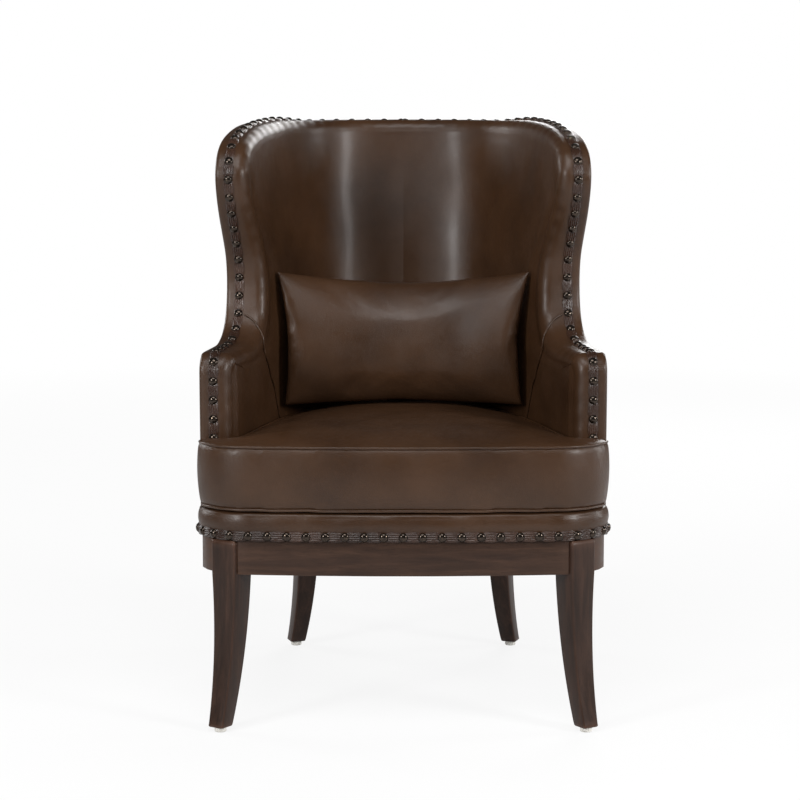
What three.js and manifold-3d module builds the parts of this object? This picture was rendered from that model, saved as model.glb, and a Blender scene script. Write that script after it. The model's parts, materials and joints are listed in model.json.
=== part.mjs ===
// Wingback armchair in brown leather: a barrel-shaped back that runs on into wings and low arms,
// a loose T-shaped seat cushion, a loose lumbar pillow, a stained wood seat frame on four sabre
// legs, and nail-head trim. Millimetres; +Z up; the chair faces -Y; the origin is on the floor
// under the middle of its bounding box.
import * as THREE from "three";
import { mergeVertices } from "three/addons/utils/BufferGeometryUtils.js";
import Module from "manifold-3d";

const wasm = await Module();
wasm.setup();

// Air left between pieces that touch
const gap = 0.3;
// How far a cutting solid runs past what it cuts
const overrun = 20;

// Heights above the floor
const glideHeight = 9;
const railBottom = 265;
const coverBottom = 322;
const railTop = 340;
const deckTop = 370;
const cushionHeight = 110;
const armTop = 623;
const backTop = 1000;

// Plan of the outer leather at seat level, right half
const armHalfWidth = 341;
const rearShoulderInset = 101;
const sideShoulderInset = 51;
const rearReach = 300;
const rearShoulderX = armHalfWidth - rearShoulderInset;
const sideShoulderX = armHalfWidth - sideShoulderInset;
const sideShoulderY = 140;
const backLean = 45;

// Front of the seat: corner and bow, and how far the arm fronts stand back from it
const cornerInset = 91;
const cornerReach = 345;
const bowDepth = 13;
const armSetback = 95;
const cornerX = armHalfWidth - cornerInset;
const frontReach = cornerReach + bowDepth;
const armFrontReach = cornerReach - armSetback;
const cornerHandle = 48;
const bowHandle = 82;

// Build-up of the shell, from the outside in
const leather = 1.8;
const boardThickness = 18;
const webbingThickness = 2;
const rimThickness = 53;
const rimOuterRadius = 6;
const rimInnerRadius = 20;
const backThickness = 97;

// Side outline of the arm and wing: run back from the arm front, rise above the arm top
const wingRearY = 150;
const wingDepth = armFrontReach + wingRearY;
const armCornerRadius = 33;
const spineTop = 700;

// Wood frame
const railThickness = 30;
const railInset = 4;
const frontLegInset = 56;
const frontLegSetback = 35;
const frontLegX = armHalfWidth - frontLegInset;
const frontLegReach = cornerReach - frontLegSetback;
const frontLegTurn = 34;
const frontLegWidth = 48;
const frontFootWidth = 30;
const frontFootOut = 34;
const rearLegInset = 10.6;
const rearLegSetback = 62;
const rearLegReach = rearReach - rearLegSetback;
const rearLegTurn = 19;
const rearLegWidth = 42;
const rearFootWidth = 29;
const rearFootOut = 72;
const glideRadius = 10;
const glideEdge = 2;
const blockSize = 70;
const blockHeight = 40;
const boltRadius = 4;
const boltHeadRadius = 8;
const boltHeadHeight = 5;
const boltBite = 22;

// Seat platform
const springWire = 4;
const springSwing = 24;
const springPitch = 55;
const springRise = 5;
const springCount = 4;
const springEdgeRoom = 133;
const springSpacing = (2 * (armHalfWidth - springEdgeRoom)) / springCount;
const clipThickness = 1.5;
const deckClothThickness = 1.2;
const dustClothThickness = 1;
const edgeRollDepth = 46;
const borderBulge = 3;

// Nail-head trim
const stripWidth = 18;
const stripThickness = 2;
const nailRadius = 7.5;
const nailHeight = 4.5;
const nailPitch = 32;
const trimGap = 0.8;

// Seat cushion
const cushionCrown = 20;
const cushionProud = 3;
const cushionBulge = 4;
const cushionNotch = 2;
const cushionSideClearance = 5;
const welt = 3;
const seamAllowance = 14;

// Lumbar pillow
const pillowTopRoom = 65;
const pillowFootRoom = 77;
const pillowTopWidth = 2 * (armHalfWidth - rimThickness - pillowTopRoom);
const pillowFootWidth = 2 * (armHalfWidth - rimThickness - pillowFootRoom);
const pillowHeight = 240;
const pillowFrontSwell = 56;
const pillowBackSwell = 82;
const pillowCornerY = 2;
const pillowTopY = 78;
const pillowFootY = 42;
const pillowTopDip = 25;
const pillowSideDip = 11;
const pillowPanelWall = 1.6;

const lerp = THREE.MathUtils.lerp;
const radians = THREE.MathUtils.degToRad;

function smooth(share) {
  const t = THREE.MathUtils.clamp(share, 0, 1);
  return t * t * (3 - 2 * t);
}

// Closed mesh helpers

function weld(geometry) {
  geometry.deleteAttribute("normal");
  geometry.deleteAttribute("uv");
  return mergeVertices(geometry, 1e-3);
}

function toSolid(geometry) {
  const merged = weld(geometry.index ? geometry : geometry.clone());
  return new wasm.Manifold(
    new wasm.Mesh({
      numProp: 3,
      vertProperties: new Float32Array(merged.attributes.position.array),
      triVerts: new Uint32Array(merged.index.array),
    }),
  );
}

function toGeometry(solid) {
  const mesh = solid.getMesh();
  const geometry = new THREE.BufferGeometry();
  geometry.setAttribute("position", new THREE.BufferAttribute(mesh.vertProperties, 3));
  geometry.setIndex(new THREE.BufferAttribute(mesh.triVerts, 1));
  const flat = geometry.toNonIndexed();
  flat.computeVertexNormals();
  return flat;
}

// Two triangles for each cell of a grid of points, either way round. Before column turnAt, the
// cells are split along their other diagonal.
function gridFaces(grid, out, flip = false, turnAt = 0) {
  for (let i = 0; i + 1 < grid.length; i++)
    for (let j = 0; j + 1 < grid[i].length; j++) {
      const [a, b, c, d] = [grid[i][j], grid[i + 1][j], grid[i + 1][j + 1], grid[i][j + 1]];
      const cell = j < turnAt ? [b, c, d, b, d, a] : [a, b, c, a, c, d];
      out.push(...(flip ? turned(cell) : cell));
    }
}

function fromTriangles(points) {
  const kept = [];
  for (let i = 0; i < points.length; i += 3) {
    const [a, b, c] = points.slice(i, i + 3);
    const area = b.clone().sub(a).cross(c.clone().sub(a)).length();
    if (area > 1e-9) kept.push(a, b, c);
  }
  return weld(new THREE.BufferGeometry().setFromPoints(kept));
}

const mirrored = (p) => new THREE.Vector3(-p.x, p.y, p.z);

// The right half's faces, and the same faces mirrored in the middle plane, as one closed solid
function mirroredSolid(faces) {
  const left = [];
  for (let i = 0; i < faces.length; i += 3)
    left.push(mirrored(faces[i]), mirrored(faces[i + 2]), mirrored(faces[i + 1]));
  const solid = toSolid(fromTriangles([...faces, ...left]));
  return solid;
}

// A loft through closed rings of points, with a flat cap at each end
function loft(rings) {
  const faces = [];
  const closed = rings.map((ring) => [...ring, ring[0]]);
  gridFaces(closed, faces, true);
  for (const [ring, flip] of [[rings[0], false], [rings[rings.length - 1], true]]) {
    const cap = capTriangles(ring);
    for (const [a, b, c] of cap) {
      if (flip) faces.push(ring[a], ring[c], ring[b]);
      else faces.push(ring[a], ring[b], ring[c]);
    }
  }
  const solid = toSolid(fromTriangles(faces));
  return solid.volume() < 0 ? toSolid(fromTriangles(turned(faces))) : solid;
}

function turned(faces) {
  const out = [];
  for (let i = 0; i < faces.length; i += 3) out.push(faces[i], faces[i + 2], faces[i + 1]);
  return out;
}

// Triangles over a flat ring, in the ring's own order
function capTriangles(ring) {
  const normal = new THREE.Vector3();
  ring.forEach((p, i) => {
    const q = ring[(i + 1) % ring.length];
    normal.x += (p.y - q.y) * (p.z + q.z);
    normal.y += (p.z - q.z) * (p.x + q.x);
    normal.z += (p.x - q.x) * (p.y + q.y);
  });
  normal.normalize();
  const turn = new THREE.Quaternion().setFromUnitVectors(normal, new THREE.Vector3(0, 0, 1));
  const flat = ring.map((p) => {
    const q = p.clone().applyQuaternion(turn);
    return new THREE.Vector2(q.x, q.y);
  });
  return THREE.ShapeUtils.triangulateShape(flat, []).map(([a, b, c]) => [a, c, b]);
}

function box(minX, maxX, minY, maxY, minZ, maxZ) {
  const shape = new THREE.BoxGeometry(maxX - minX, maxY - minY, maxZ - minZ);
  shape.translate((minX + maxX) / 2, (minY + maxY) / 2, (minZ + maxZ) / 2);
  return toSolid(shape);
}

const wide = armHalfWidth + overrun;
const tall = backTop + overrun;

// Everything above a height, behind a depth, or inside a half-width
const above = (z) => box(-wide, wide, -2 * wide, 2 * wide, z, tall + overrun);
const behind = (y) => box(-wide, wide, y, 2 * wide, 0, tall + overrun);
const within = (x) => box(-x, x, -2 * wide, 2 * wide, 0, tall + overrun);
const rightSide = () => box(0, wide, -2 * wide, 2 * wide, 0, tall + overrun);

// Plan of the shell

// How far back the rear has leaned at a height
function leanAt(z) {
  return (backLean * (z - coverBottom)) / (backTop - coverBottom);
}

// Share of the rear's lean that the sides take up
const sideLeanShare = 0.5;
const planCurves = new Map();

// Outer plan curve at a height, from the middle of the back to the front of the right arm
function planCurve(z) {
  if (!planCurves.has(z)) {
    const lean = leanAt(z);
    planCurves.set(
      z,
      new THREE.CubicBezierCurve(
        new THREE.Vector2(0, rearReach + lean),
        new THREE.Vector2(rearShoulderX, rearReach + lean),
        new THREE.Vector2(sideShoulderX, sideShoulderY + lean * sideLeanShare),
        new THREE.Vector2(armHalfWidth, -armFrontReach),
      ),
    );
  }
  return planCurves.get(z);
}

const planLength = planCurve(coverBottom).getLength();

// A point of the shell: share of the way round the plan, height, and depth inwards
function shellPoint(share, z, depth) {
  const curve = planCurve(z);
  const at = curve.getPointAt(THREE.MathUtils.clamp(share, 0, 1));
  const along = curve.getTangentAt(THREE.MathUtils.clamp(share, 0, 1));
  const run = share > 1 ? (share - 1) * planLength : 0;
  const x = at.x + along.x * run + along.y * depth;
  return new THREE.Vector3(
    share === 0 ? 0 : x,
    at.y + along.y * run - along.x * depth,
    z,
  );
}

// Share of the way round the plan at which the outer curve has a given y
function shareAt(y, z) {
  let [low, high] = [0, 1];
  for (let i = 0; i < 40; i++) {
    const mid = (low + high) / 2;
    if (planCurve(z).getPointAt(mid).y > y) low = mid;
    else high = mid;
  }
  return (low + high) / 2;
}

// Rim of the shell, from the foot of the arm front, over the arm and wing, to the top of the back

const armFrontHeightShares = [0, 0.26, 0.92];
// How far back along the wing, and how far up it, each point of the rim lies
const wingShares = [
  [0.22, -0.002],
  [0.38, 0.012],
  [0.475, 0.07],
  [0.525, 0.165],
  [0.538, 0.28],
  [0.515, 0.4],
  [0.44, 0.53],
  [0.372, 0.655],
  [0.345, 0.76],
  [0.375, 0.85],
  [0.47, 0.922],
  [0.63, 0.964],
  [1, 1],
];
const topRunShares = [0.67, 0.34, 0];
const armCornerTurns = [15, 45, 75];

function rimPoints() {
  const points = [];
  const add = (y, z) => points.push(new THREE.Vector2(shareAt(y, z) * planLength, z));
  const cornerStart = armTop - armCornerRadius;
  for (const share of armFrontHeightShares)
    points.push(new THREE.Vector2(planLength, lerp(coverBottom - overrun, cornerStart, share)));
  for (const turn of armCornerTurns) {
    const angle = radians(turn);
    add(
      -armFrontReach + armCornerRadius * (1 - Math.cos(angle)),
      cornerStart + armCornerRadius * Math.sin(angle),
    );
  }
  for (const [back, up] of wingShares)
    add(-armFrontReach + wingDepth * back, lerp(armTop, backTop, up));
  const last = points[points.length - 1];
  for (const share of topRunShares) points.push(new THREE.Vector2(last.x * share, backTop));
  return points;
}

const rim = rimPoints();
const rimCurve = new THREE.SplineCurve(rim);

// Direction into the shell, square to the rim, at a rim point
function rimInwards(i) {
  if (i === 0) return new THREE.Vector2(-1, 0);
  if (i === rim.length - 1) return new THREE.Vector2(0, -1);
  const along = rimCurve.getTangent(i / (rim.length - 1));
  return new THREE.Vector2(-along.y, along.x);
}

const rimRun = rim.map((p, i) => (i ? p.distanceTo(rim[i - 1]) : 0));
const rimLength = rimRun.reduce((sum, run) => sum + run, 0);
const rimDistance = rimRun.map((_, i) => rimRun.slice(0, i + 1).reduce((sum, run) => sum + run, 0));

// Padding thickness of the shell, by share of the plan and by height: full at the lower back,
// thinner at the rim
const lowPaddingPower = 0.6;
const highPaddingPower = 1.2;
const topPaddingShare = 0.25;

function thicknessAt(share, z) {
  const high = smooth((z - armTop) / (backTop - armTop));
  const power = lerp(lowPaddingPower, highPaddingPower, high);
  const field = (backThickness - rimThickness) * Math.pow(Math.max(0, 1 - share), power);
  return rimThickness + field * lerp(1, topPaddingShare, high * high);
}

// Shares of the way round the plan at which the shell has its vertical edges, and heights at
// which it has its level ones
const planShares = [0, 0.08, 0.17, 0.26, 0.35, 0.44, 0.53, 0.63, 0.77, 1];
const levelShares = [0, 0.3, 0.56, 0.78, 1];

// A closed curtain round the plan, between two depths, each a length or a function of share and
// height
function curtain(outer, inner, bottom = coverBottom - overrun) {
  const depth = (side, share, z) => (typeof side === "function" ? side(share, z) : side);
  const shares = [...planShares, 1 + overrun / planLength];
  const heights = [bottom, ...levelShares.slice(1).map((share) => lerp(coverBottom, backTop, share))];
  heights.push(backTop + overrun);
  const rows = heights.map((z) => [
    ...shares.map((share) => shellPoint(share, z, depth(outer, share, z))),
    ...[...shares].reverse().map((share) => shellPoint(share, z, depth(inner, share, z))),
  ]);
  const faces = [];
  const count = shares.length;
  gridFaces(rows, faces, false, count);
  for (const [row, flip] of [[rows[0], true], [rows[rows.length - 1], false]])
    gridFaces([row.slice(0, count), row.slice(count).reverse()], faces, flip);
  const solid = mirroredSolid(faces);
  return solid.volume() < 0 ? mirroredSolid(turned(faces)) : solid;
}

// A place on the shell seen from the rim: inset is a distance in from the rim edge, inShare a
// share of the rest of the way to the middle of the back
function rimPlace(i, inset, inShare) {
  const start = rim[i].clone().addScaledVector(rimInwards(i), inset);
  if (inShare === 0) return start;
  const middle = new THREE.Vector2(0, lerp(coverBottom, spineTop, rimDistance[i] / rimLength));
  if (i === 0) middle.y = start.y;
  return start.lerp(middle, inShare);
}

function placed(i, inset, inShare, depth) {
  const place = rimPlace(i, inset, inShare);
  if (i === rim.length - 1 || inShare === 1) place.x = 0;
  return shellPoint(place.x / planLength, place.y, depth);
}

const rimThicknessAt = (i) => thicknessAt(rim[i].x / planLength, rim[i].y);
const outerTurns = [0, 90];
const innerTurns = [0, 45, 90];
const fanShares = [0, 0.25, 0.5, 0.75, 1];

// Everything inside the shell's rim, with its small outer corner and its large inner roll, at a
// depth under the leather's face
function insideRim(cover) {
  const corner = (i) =>
    outerTurns.map((turn) => {
      const radius = rimOuterRadius - cover;
      const inset = rimOuterRadius - radius * Math.sin(radians(turn));
      return placed(i, inset, 0, rimOuterRadius - radius * Math.cos(radians(turn)));
    });
  const roll = (i) =>
    innerTurns.map((turn) => {
      const radius = rimInnerRadius - cover;
      const inset = rimInnerRadius - radius * Math.cos(radians(turn));
      const centre = rimThicknessAt(i) - rimInnerRadius;
      return placed(i, inset, 0, centre + radius * Math.sin(radians(turn)));
    });
  const rows = rim.map((_, i) => [
    ...[...fanShares].reverse().map((share) => placed(i, rimOuterRadius, share, -cutDepth)),
    ...corner(i),
    ...roll(i),
    ...fanShares.map((share) => placed(i, rimInnerRadius, share, backThickness + cutDepth)),
  ]);
  const faces = [];
  gridFaces(rows, faces, false, fanShares.length + outerTurns.length);
  faces.push(...footCap(rows[0]));
  const solid = mirroredSolid(faces);
  return solid.volume() < 0 ? mirroredSolid(turned(faces)) : solid;
}

const cutDepth = 40;

// The level face that closes the foot of the rim solid
function footCap(row) {
  const outer = row.slice(0, fanShares.length).reverse();
  const inner = row.slice(-fanShares.length);
  const edge = row.slice(fanShares.length, -fanShares.length);
  const faces = [];
  gridFaces([outer, inner], faces);
  const fan = [outer[0], ...edge, inner[0]];
  for (let i = 1; i + 1 < fan.length; i++) faces.push(fan[0], fan[i], fan[i + 1]);
  return faces;
}

// The whole shell at a depth under the leather's face
function shellBody(cover, bottom) {
  return insideRim(cover).intersect(
    curtain(cover, (share, z) => thicknessAt(share, z) - cover, bottom),
  );
}

// Where the two covers meet, under the middle of the trim strip
const stripStart = rimThickness - rimInnerRadius - stripWidth;
const coverJoint = stripStart + stripWidth / 2;
const farDepth = backThickness + overrun;

const boardStart = leather + gap;
const boardEnd = boardStart + boardThickness;
const webbingStart = boardEnd + gap;
const foamStart = webbingStart + webbingThickness + gap;
const underCover = leather + gap;

function leatherSkin() {
  return shellBody(0, coverBottom).subtract(shellBody(leather));
}

// Lines that part the shell's layers

const armSeamTop = 690;
const armSeamTopReach = 20;
const armSeamFootReach = 62;
const boardJointReach = 100;
const postInset = 65;
const postHalfWidth = rearShoulderX - postInset;
const topRailHeight = 62;
const lowerRailHeight = 80;

// Everything in front of the seam between an arm's padding and the back's, less a clearance
function armRegion(clearance) {
  const outline = new THREE.Shape([
    new THREE.Vector2(-2 * wide, 0),
    new THREE.Vector2(armSeamFootReach - clearance, 0),
    new THREE.Vector2(armSeamFootReach - clearance, deckTop),
    new THREE.Vector2(-armSeamTopReach - clearance, armSeamTop),
    new THREE.Vector2(-2 * wide, armSeamTop),
  ]);
  const prism = new THREE.ExtrudeGeometry(outline, { depth: 2 * wide, bevelEnabled: false });
  prism.applyMatrix4(
    new THREE.Matrix4().set(0, 0, 1, -wide, 1, 0, 0, 0, 0, 1, 0, 0, 0, 0, 0, 1),
  );
  return toSolid(prism);
}

const toRight = (solid) => solid.intersect(rightSide());
const toLeft = (solid) => solid.subtract(rightSide());

// Seat outline: the shell's plan, then the corner and the bowed front, right half from the
// middle of the back to the middle of the front

const plan = planCurve(coverBottom);
const armTangent = plan.getTangent(1);
const armFrontCorner = new THREE.Vector2(armHalfWidth, -armFrontReach);
const bowFullness = 0.6;
const cornerCurve = new THREE.CubicBezierCurve(
  armFrontCorner,
  armFrontCorner.clone().addScaledVector(armTangent, cornerHandle),
  new THREE.Vector2(cornerX + cornerHandle, -cornerReach),
  new THREE.Vector2(cornerX, -cornerReach),
);
const bowCurve = new THREE.CubicBezierCurve(
  new THREE.Vector2(cornerX, -cornerReach),
  new THREE.Vector2(cornerX - bowHandle, -cornerReach - (frontReach - cornerReach) * bowFullness),
  new THREE.Vector2(bowHandle, -frontReach),
  new THREE.Vector2(0, -frontReach),
);

const cornerSteps = 6;
const bowSteps = 5;

function offsetPoint(curve, t, depth) {
  const at = curve.getPointAt(t);
  const along = curve.getTangentAt(t);
  return new THREE.Vector2(at.x + along.y * depth, at.y - along.x * depth);
}

function curvePoints(curve, steps, depth, from = 0) {
  const points = [];
  for (let i = from; i <= steps; i++) points.push(offsetPoint(curve, i / steps, depth));
  return points;
}

// Front half outline from the arm front to the middle of the front
function frontOutline(depth) {
  const points = [
    ...curvePoints(cornerCurve, cornerSteps, depth),
    ...curvePoints(bowCurve, bowSteps, depth, 1),
  ];
  points[points.length - 1].x = 0;
  return points;
}

function seatOutline(depth) {
  const back = planShares.map((share) => offsetPoint(plan, share, depth));
  const points = [...back, ...frontOutline(depth).slice(1)];
  points[0].x = 0;
  return points;
}

function closedOutline(half) {
  const left = half
    .slice(1, -1)
    .reverse()
    .map((p) => new THREE.Vector2(-p.x, p.y));
  return [...half, ...left];
}

// A flat slab with the seat's outline
function seatSlab(depth, bottom, top) {
  const shape = new THREE.Shape(closedOutline(seatOutline(depth)));
  const slab = new THREE.ExtrudeGeometry(shape, { depth: top - bottom, bevelEnabled: false });
  slab.translate(0, 0, bottom);
  return toSolid(slab);
}

// Legs

// One sabre leg at its place: a straight block that the rails butt against, then a blade that
// narrows and sweeps out to the foot
const legRingShares = [0, 0.12, 0.26, 0.4, 0.54, 0.68, 0.82, 1];
const sweepPower = 2.2;

function legCorners(x, y, turn, width, z) {
  const half = width / 2;
  return [[-1, -1], [1, -1], [1, 1], [-1, 1]].map(([across, along]) => {
    const [dx, dy] = [across * half, along * half];
    const [c, s] = [Math.cos(turn), Math.sin(turn)];
    return new THREE.Vector3(x + dx * c - dy * s, y + dx * s + dy * c, z);
  });
}

// Half the distance between the rear legs, which follow the plan of the shell
function rearLegX() {
  return shellPoint(shareAt(rearLegReach, railTop), railTop, 0).x - rearLegInset;
}

function legPlace(front, side) {
  return {
    x: side * (front ? frontLegX : rearLegX()),
    y: front ? -frontLegReach : rearLegReach,
    turn: side * radians(front ? frontLegTurn : -rearLegTurn),
    top: front ? frontLegWidth : rearLegWidth,
    foot: front ? frontFootWidth : rearFootWidth,
    out: front ? frontFootOut : rearFootOut,
  };
}

// Direction in which a leg's foot sweeps out, seen from above
function footDirection(front, side) {
  const away = radians(front ? frontLegTurn : rearLegTurn);
  return new THREE.Vector2(side * Math.sin(away), (front ? -1 : 1) * Math.cos(away));
}

function legRing(front, side, drop) {
  const leg = legPlace(front, side);
  const out = footDirection(front, side).multiplyScalar(leg.out * Math.pow(drop, sweepPower));
  const width = lerp(leg.top, leg.foot, drop);
  const z = lerp(railBottom, glideHeight, drop);
  return legCorners(leg.x + out.x, leg.y + out.y, leg.turn, width, z);
}

function legBlade(front, side) {
  const rings = [...legRingShares].reverse().map((share) => legRing(front, side, share));
  const leg = legPlace(front, side);
  rings.push(legCorners(leg.x, leg.y, leg.turn, leg.top, railTop - gap));
  return loft(rings);
}

// The upper block stands back from the leather where the cover passes over it
function legSolid(front, side) {
  const recess = above(coverBottom - gap).subtract(
    seatSlab(railInset, coverBottom - overrun, railTop + overrun),
  );
  return legBlade(front, side).subtract(recess);
}

// The leg's block with a little air round it, for cutting rails and blocks
function legClearance(front, side) {
  const leg = legPlace(front, side);
  const width = leg.top + 2 * gap;
  return loft([
    legCorners(leg.x, leg.y, leg.turn, width, railBottom - overrun),
    legCorners(leg.x, leg.y, leg.turn, width, railTop + overrun),
  ]);
}

const corners = [
  ["front_left", true, -1],
  ["front_right", true, 1],
  ["rear_left", false, -1],
  ["rear_right", false, 1],
];

function footCentre(front, side) {
  const leg = legPlace(front, side);
  const out = footDirection(front, side).multiplyScalar(leg.out);
  return new THREE.Vector2(leg.x + out.x, leg.y + out.y);
}

const glideSides = 8;

function glide(front, side) {
  const top = glideHeight - gap;
  const profile = [
    new THREE.Vector2(0, 0),
    new THREE.Vector2(glideRadius - glideEdge, 0),
    new THREE.Vector2(glideRadius, glideEdge),
    new THREE.Vector2(glideRadius, top),
    new THREE.Vector2(0, top),
  ];
  const shape = new THREE.LatheGeometry(profile, glideSides);
  shape.rotateX(Math.PI / 2);
  const foot = footCentre(front, side);
  shape.translate(foot.x, foot.y, 0);
  return toSolid(shape);
}

// Rails: one ring of wood round the seat, parted by the legs

// Everything between the lines that run in and out through a pair of legs
function betweenLegs(front) {
  const leg = legPlace(front, 1);
  const out = footDirection(front, 1);
  const inner = new THREE.Vector2(leg.x, leg.y).addScaledVector(out, -2 * leg.top);
  const outer = new THREE.Vector2(leg.x, leg.y).addScaledVector(out, wide);
  const shape = new THREE.Shape([
    inner,
    outer,
    new THREE.Vector2(-outer.x, outer.y),
    new THREE.Vector2(-inner.x, inner.y),
  ]);
  return toSolid(new THREE.ExtrudeGeometry(shape, { depth: tall, bevelEnabled: false }));
}

function railPieces() {
  let ring = seatSlab(railInset, railBottom, railTop).subtract(
    seatSlab(railInset + railThickness, railBottom - overrun, railTop + overrun),
  );
  for (const [, front, side] of corners)
    ring = ring.subtract(legClearance(front, side)).subtract(boltHole(front, side));
  const [frontPart, rearPart] = [betweenLegs(true), betweenLegs(false)];
  const sides = ring.subtract(frontPart).subtract(rearPart);
  return {
    front_apron: ring.intersect(frontPart),
    rear_seat_rail: ring.intersect(rearPart),
    right_seat_rail: toRight(sides),
    left_seat_rail: toLeft(sides),
  };
}

// Corner blocks and bolts

const blockTop = railTop - overrun / 2;
const blockBottom = blockTop - blockHeight;
const boltHeight = (blockTop + blockBottom) / 2;

// Bolt axis: from inside the seat outwards into the leg, level
function boltGeometry(front, side, radius, headRadius, headDepth) {
  const inner = boltStart(front);
  const profile = [
    new THREE.Vector2(0, inner - headDepth),
    new THREE.Vector2(headRadius, inner - headDepth),
    new THREE.Vector2(headRadius, inner),
    new THREE.Vector2(radius, inner),
    new THREE.Vector2(radius, boltEnd(front)),
    new THREE.Vector2(0, boltEnd(front)),
  ];
  const shape = new THREE.LatheGeometry(profile, 6);
  const out = footDirection(front, side);
  const leg = legPlace(front, side);
  const turn = new THREE.Quaternion().setFromUnitVectors(
    new THREE.Vector3(0, 1, 0),
    new THREE.Vector3(out.x, out.y, 0),
  );
  shape.applyQuaternion(turn);
  shape.translate(leg.x, leg.y, boltHeight);
  return toSolid(shape);
}

const blockDepth = blockSize / 2;
const legHalf = (front) => (front ? frontLegWidth : rearLegWidth) / 2;
const boltStart = (front) => -legHalf(front) - blockDepth - gap;
const boltEnd = (front) => -legHalf(front) + boltBite;

function leadBolt(front, side) {
  return boltGeometry(front, side, boltRadius, boltHeadRadius, boltHeadHeight);
}

function boltHole(front, side) {
  return boltGeometry(front, side, boltRadius + gap, boltRadius + gap, boltHeadHeight);
}

function cornerBlock(front, side) {
  const leg = legPlace(front, side);
  const inwards = footDirection(front, side).multiplyScalar(-legHalf(front) - blockDepth / 2 - gap);
  const bar = new THREE.BoxGeometry(2 * blockSize, blockDepth, blockHeight);
  bar.rotateZ(leg.turn);
  bar.translate(leg.x + inwards.x, leg.y + inwards.y, boltHeight);
  return toSolid(bar)
    .intersect(seatSlab(railInset + railThickness + gap, blockBottom - overrun, railTop))
    .subtract(legClearance(front, side))
    .subtract(boltHole(front, side));
}

// Seat platform

const springBase = railTop + gap + clipThickness + gap;
const clipInset = boardEnd + gap;
const springInset = clipInset + springWire;

// Where an outline crosses a distance to the side
function yAt(points, x) {
  for (let i = 0; i + 1 < points.length; i++) {
    const [p, q] = [points[i], points[i + 1]];
    if ((p.x - x) * (q.x - x) <= 0 && p.x !== q.x)
      return lerp(p.y, q.y, (x - p.x) / (q.x - p.x));
  }
  return 0;
}

// One sinuous spring: a wire that swings from side to side on its way back, from clip to clip
const stepsPerSwing = 3;
const swingFadeShare = 0.12;
const wireSides = 4;

function seatSpring(index) {
  const x = (index - (springCount - 1) / 2) * springSpacing;
  const reach = Math.abs(x) + springSwing / 2;
  const back = yAt(planShares.map((share) => offsetPoint(plan, share, springInset)), reach);
  const front = yAt(frontOutline(springInset), reach);
  const swings = Math.round((back - front) / springPitch);
  const steps = swings * stepsPerSwing;
  const points = [];
  for (let i = 0; i <= steps; i++) {
    const share = i / steps;
    const swing = Math.sin(share * swings * Math.PI);
    const width = springSwing * smooth(Math.min(share, 1 - share) / swingFadeShare);
    const rise = springRise * Math.sin(share * Math.PI);
    points.push(new THREE.Vector3(
      x + Math.sign(swing) * Math.sqrt(Math.abs(swing)) * width,
      lerp(front, back, share),
      springBase + springWire / 2 + rise,
    ));
  }
  const path = new THREE.CatmullRomCurve3(points);
  const round = new THREE.Shape();
  for (let i = 0; i < wireSides; i++) {
    const angle = ((i + 0.5) / wireSides) * 2 * Math.PI;
    const [px, py] = [Math.cos(angle), Math.sin(angle)].map((v) => (v * springWire) / 2);
    if (i) round.lineTo(px, py);
    else round.moveTo(px, py);
  }
  round.closePath();
  return toSolid(new THREE.ExtrudeGeometry(round, { extrudePath: path, steps }));
}

// A strip of spring clips along the top of a rail, front or rear
function clipStrip(front) {
  const bottom = railTop + gap;
  const ring = seatSlab(clipInset, bottom, bottom + clipThickness).subtract(
    seatSlab(railInset + railThickness, bottom - overrun, bottom + overrun),
  );
  const half = springSpacing * springCount / 2;
  const y = front ? [-2 * wide, 0] : [0, 2 * wide];
  return ring.intersect(box(-half, half, y[0], y[1], 0, tall));
}

const springTop = springBase + springWire + springRise;
const clothBottom = springTop + gap;
const padBottom = clothBottom + deckClothThickness + gap;

// The platform's outline: a depth in from the shell's face at the sides and back, and in from the
// front outline in front
function platformSlab(bottom, top, side, front) {
  const half = planShares.map((share) => {
    const p = shellPoint(share, deckTop, side(share));
    return new THREE.Vector2(p.x, p.y);
  });
  const last = half[half.length - 1];
  half.push(...frontOutline(front).filter((p) => p.x < last.x && p.y < last.y));
  const shape = new THREE.Shape(closedOutline(half));
  const slab = new THREE.ExtrudeGeometry(shape, { depth: top - bottom, bevelEnabled: false });
  slab.translate(0, 0, bottom);
  return toSolid(slab);
}

const clothSide = () => coverJoint + leather;
const padSide = (share) => thicknessAt(share, deckTop) + leather;

// Front edge of the seat: a foam roll under a leather band, from arm front to arm front.
// A section has distances in from the outline, and heights.
const bandStartShare = 0.03;

function frontPlaces() {
  const places = [];
  for (let i = 0; i <= cornerSteps; i++)
    places.push([cornerCurve, lerp(bandStartShare, 1, i / cornerSteps)]);
  for (let i = 1; i <= bowSteps; i++) places.push([bowCurve, i / bowSteps]);
  return places;
}

function frontSweep(section) {
  const right = frontPlaces().map(([curve, t]) =>
    section.map(([depth, z]) => {
      const p = offsetPoint(curve, t, depth);
      return new THREE.Vector3(p.x, p.y, z);
    }),
  );
  right[right.length - 1].forEach((p) => (p.x = 0));
  const left = right.slice(0, -1).reverse().map((ring) => ring.map(mirrored));
  return loft([...right, ...left]);
}

const bandTop = deckTop - gap;
const bandMiddle = (coverBottom + stripWidth + bandTop) / 2;

function bandSkin(cover) {
  return [
    [cover, coverBottom],
    [cover, coverBottom + stripWidth],
    [cover - borderBulge, bandMiddle],
    [cover + leather, bandTop - rimOuterRadius],
    [rimOuterRadius * 2, bandTop - cover],
    [edgeRollDepth, bandTop - cover],
  ];
}

function borderCover() {
  return frontSweep([...bandSkin(0), ...bandSkin(leather).reverse()]);
}

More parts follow.
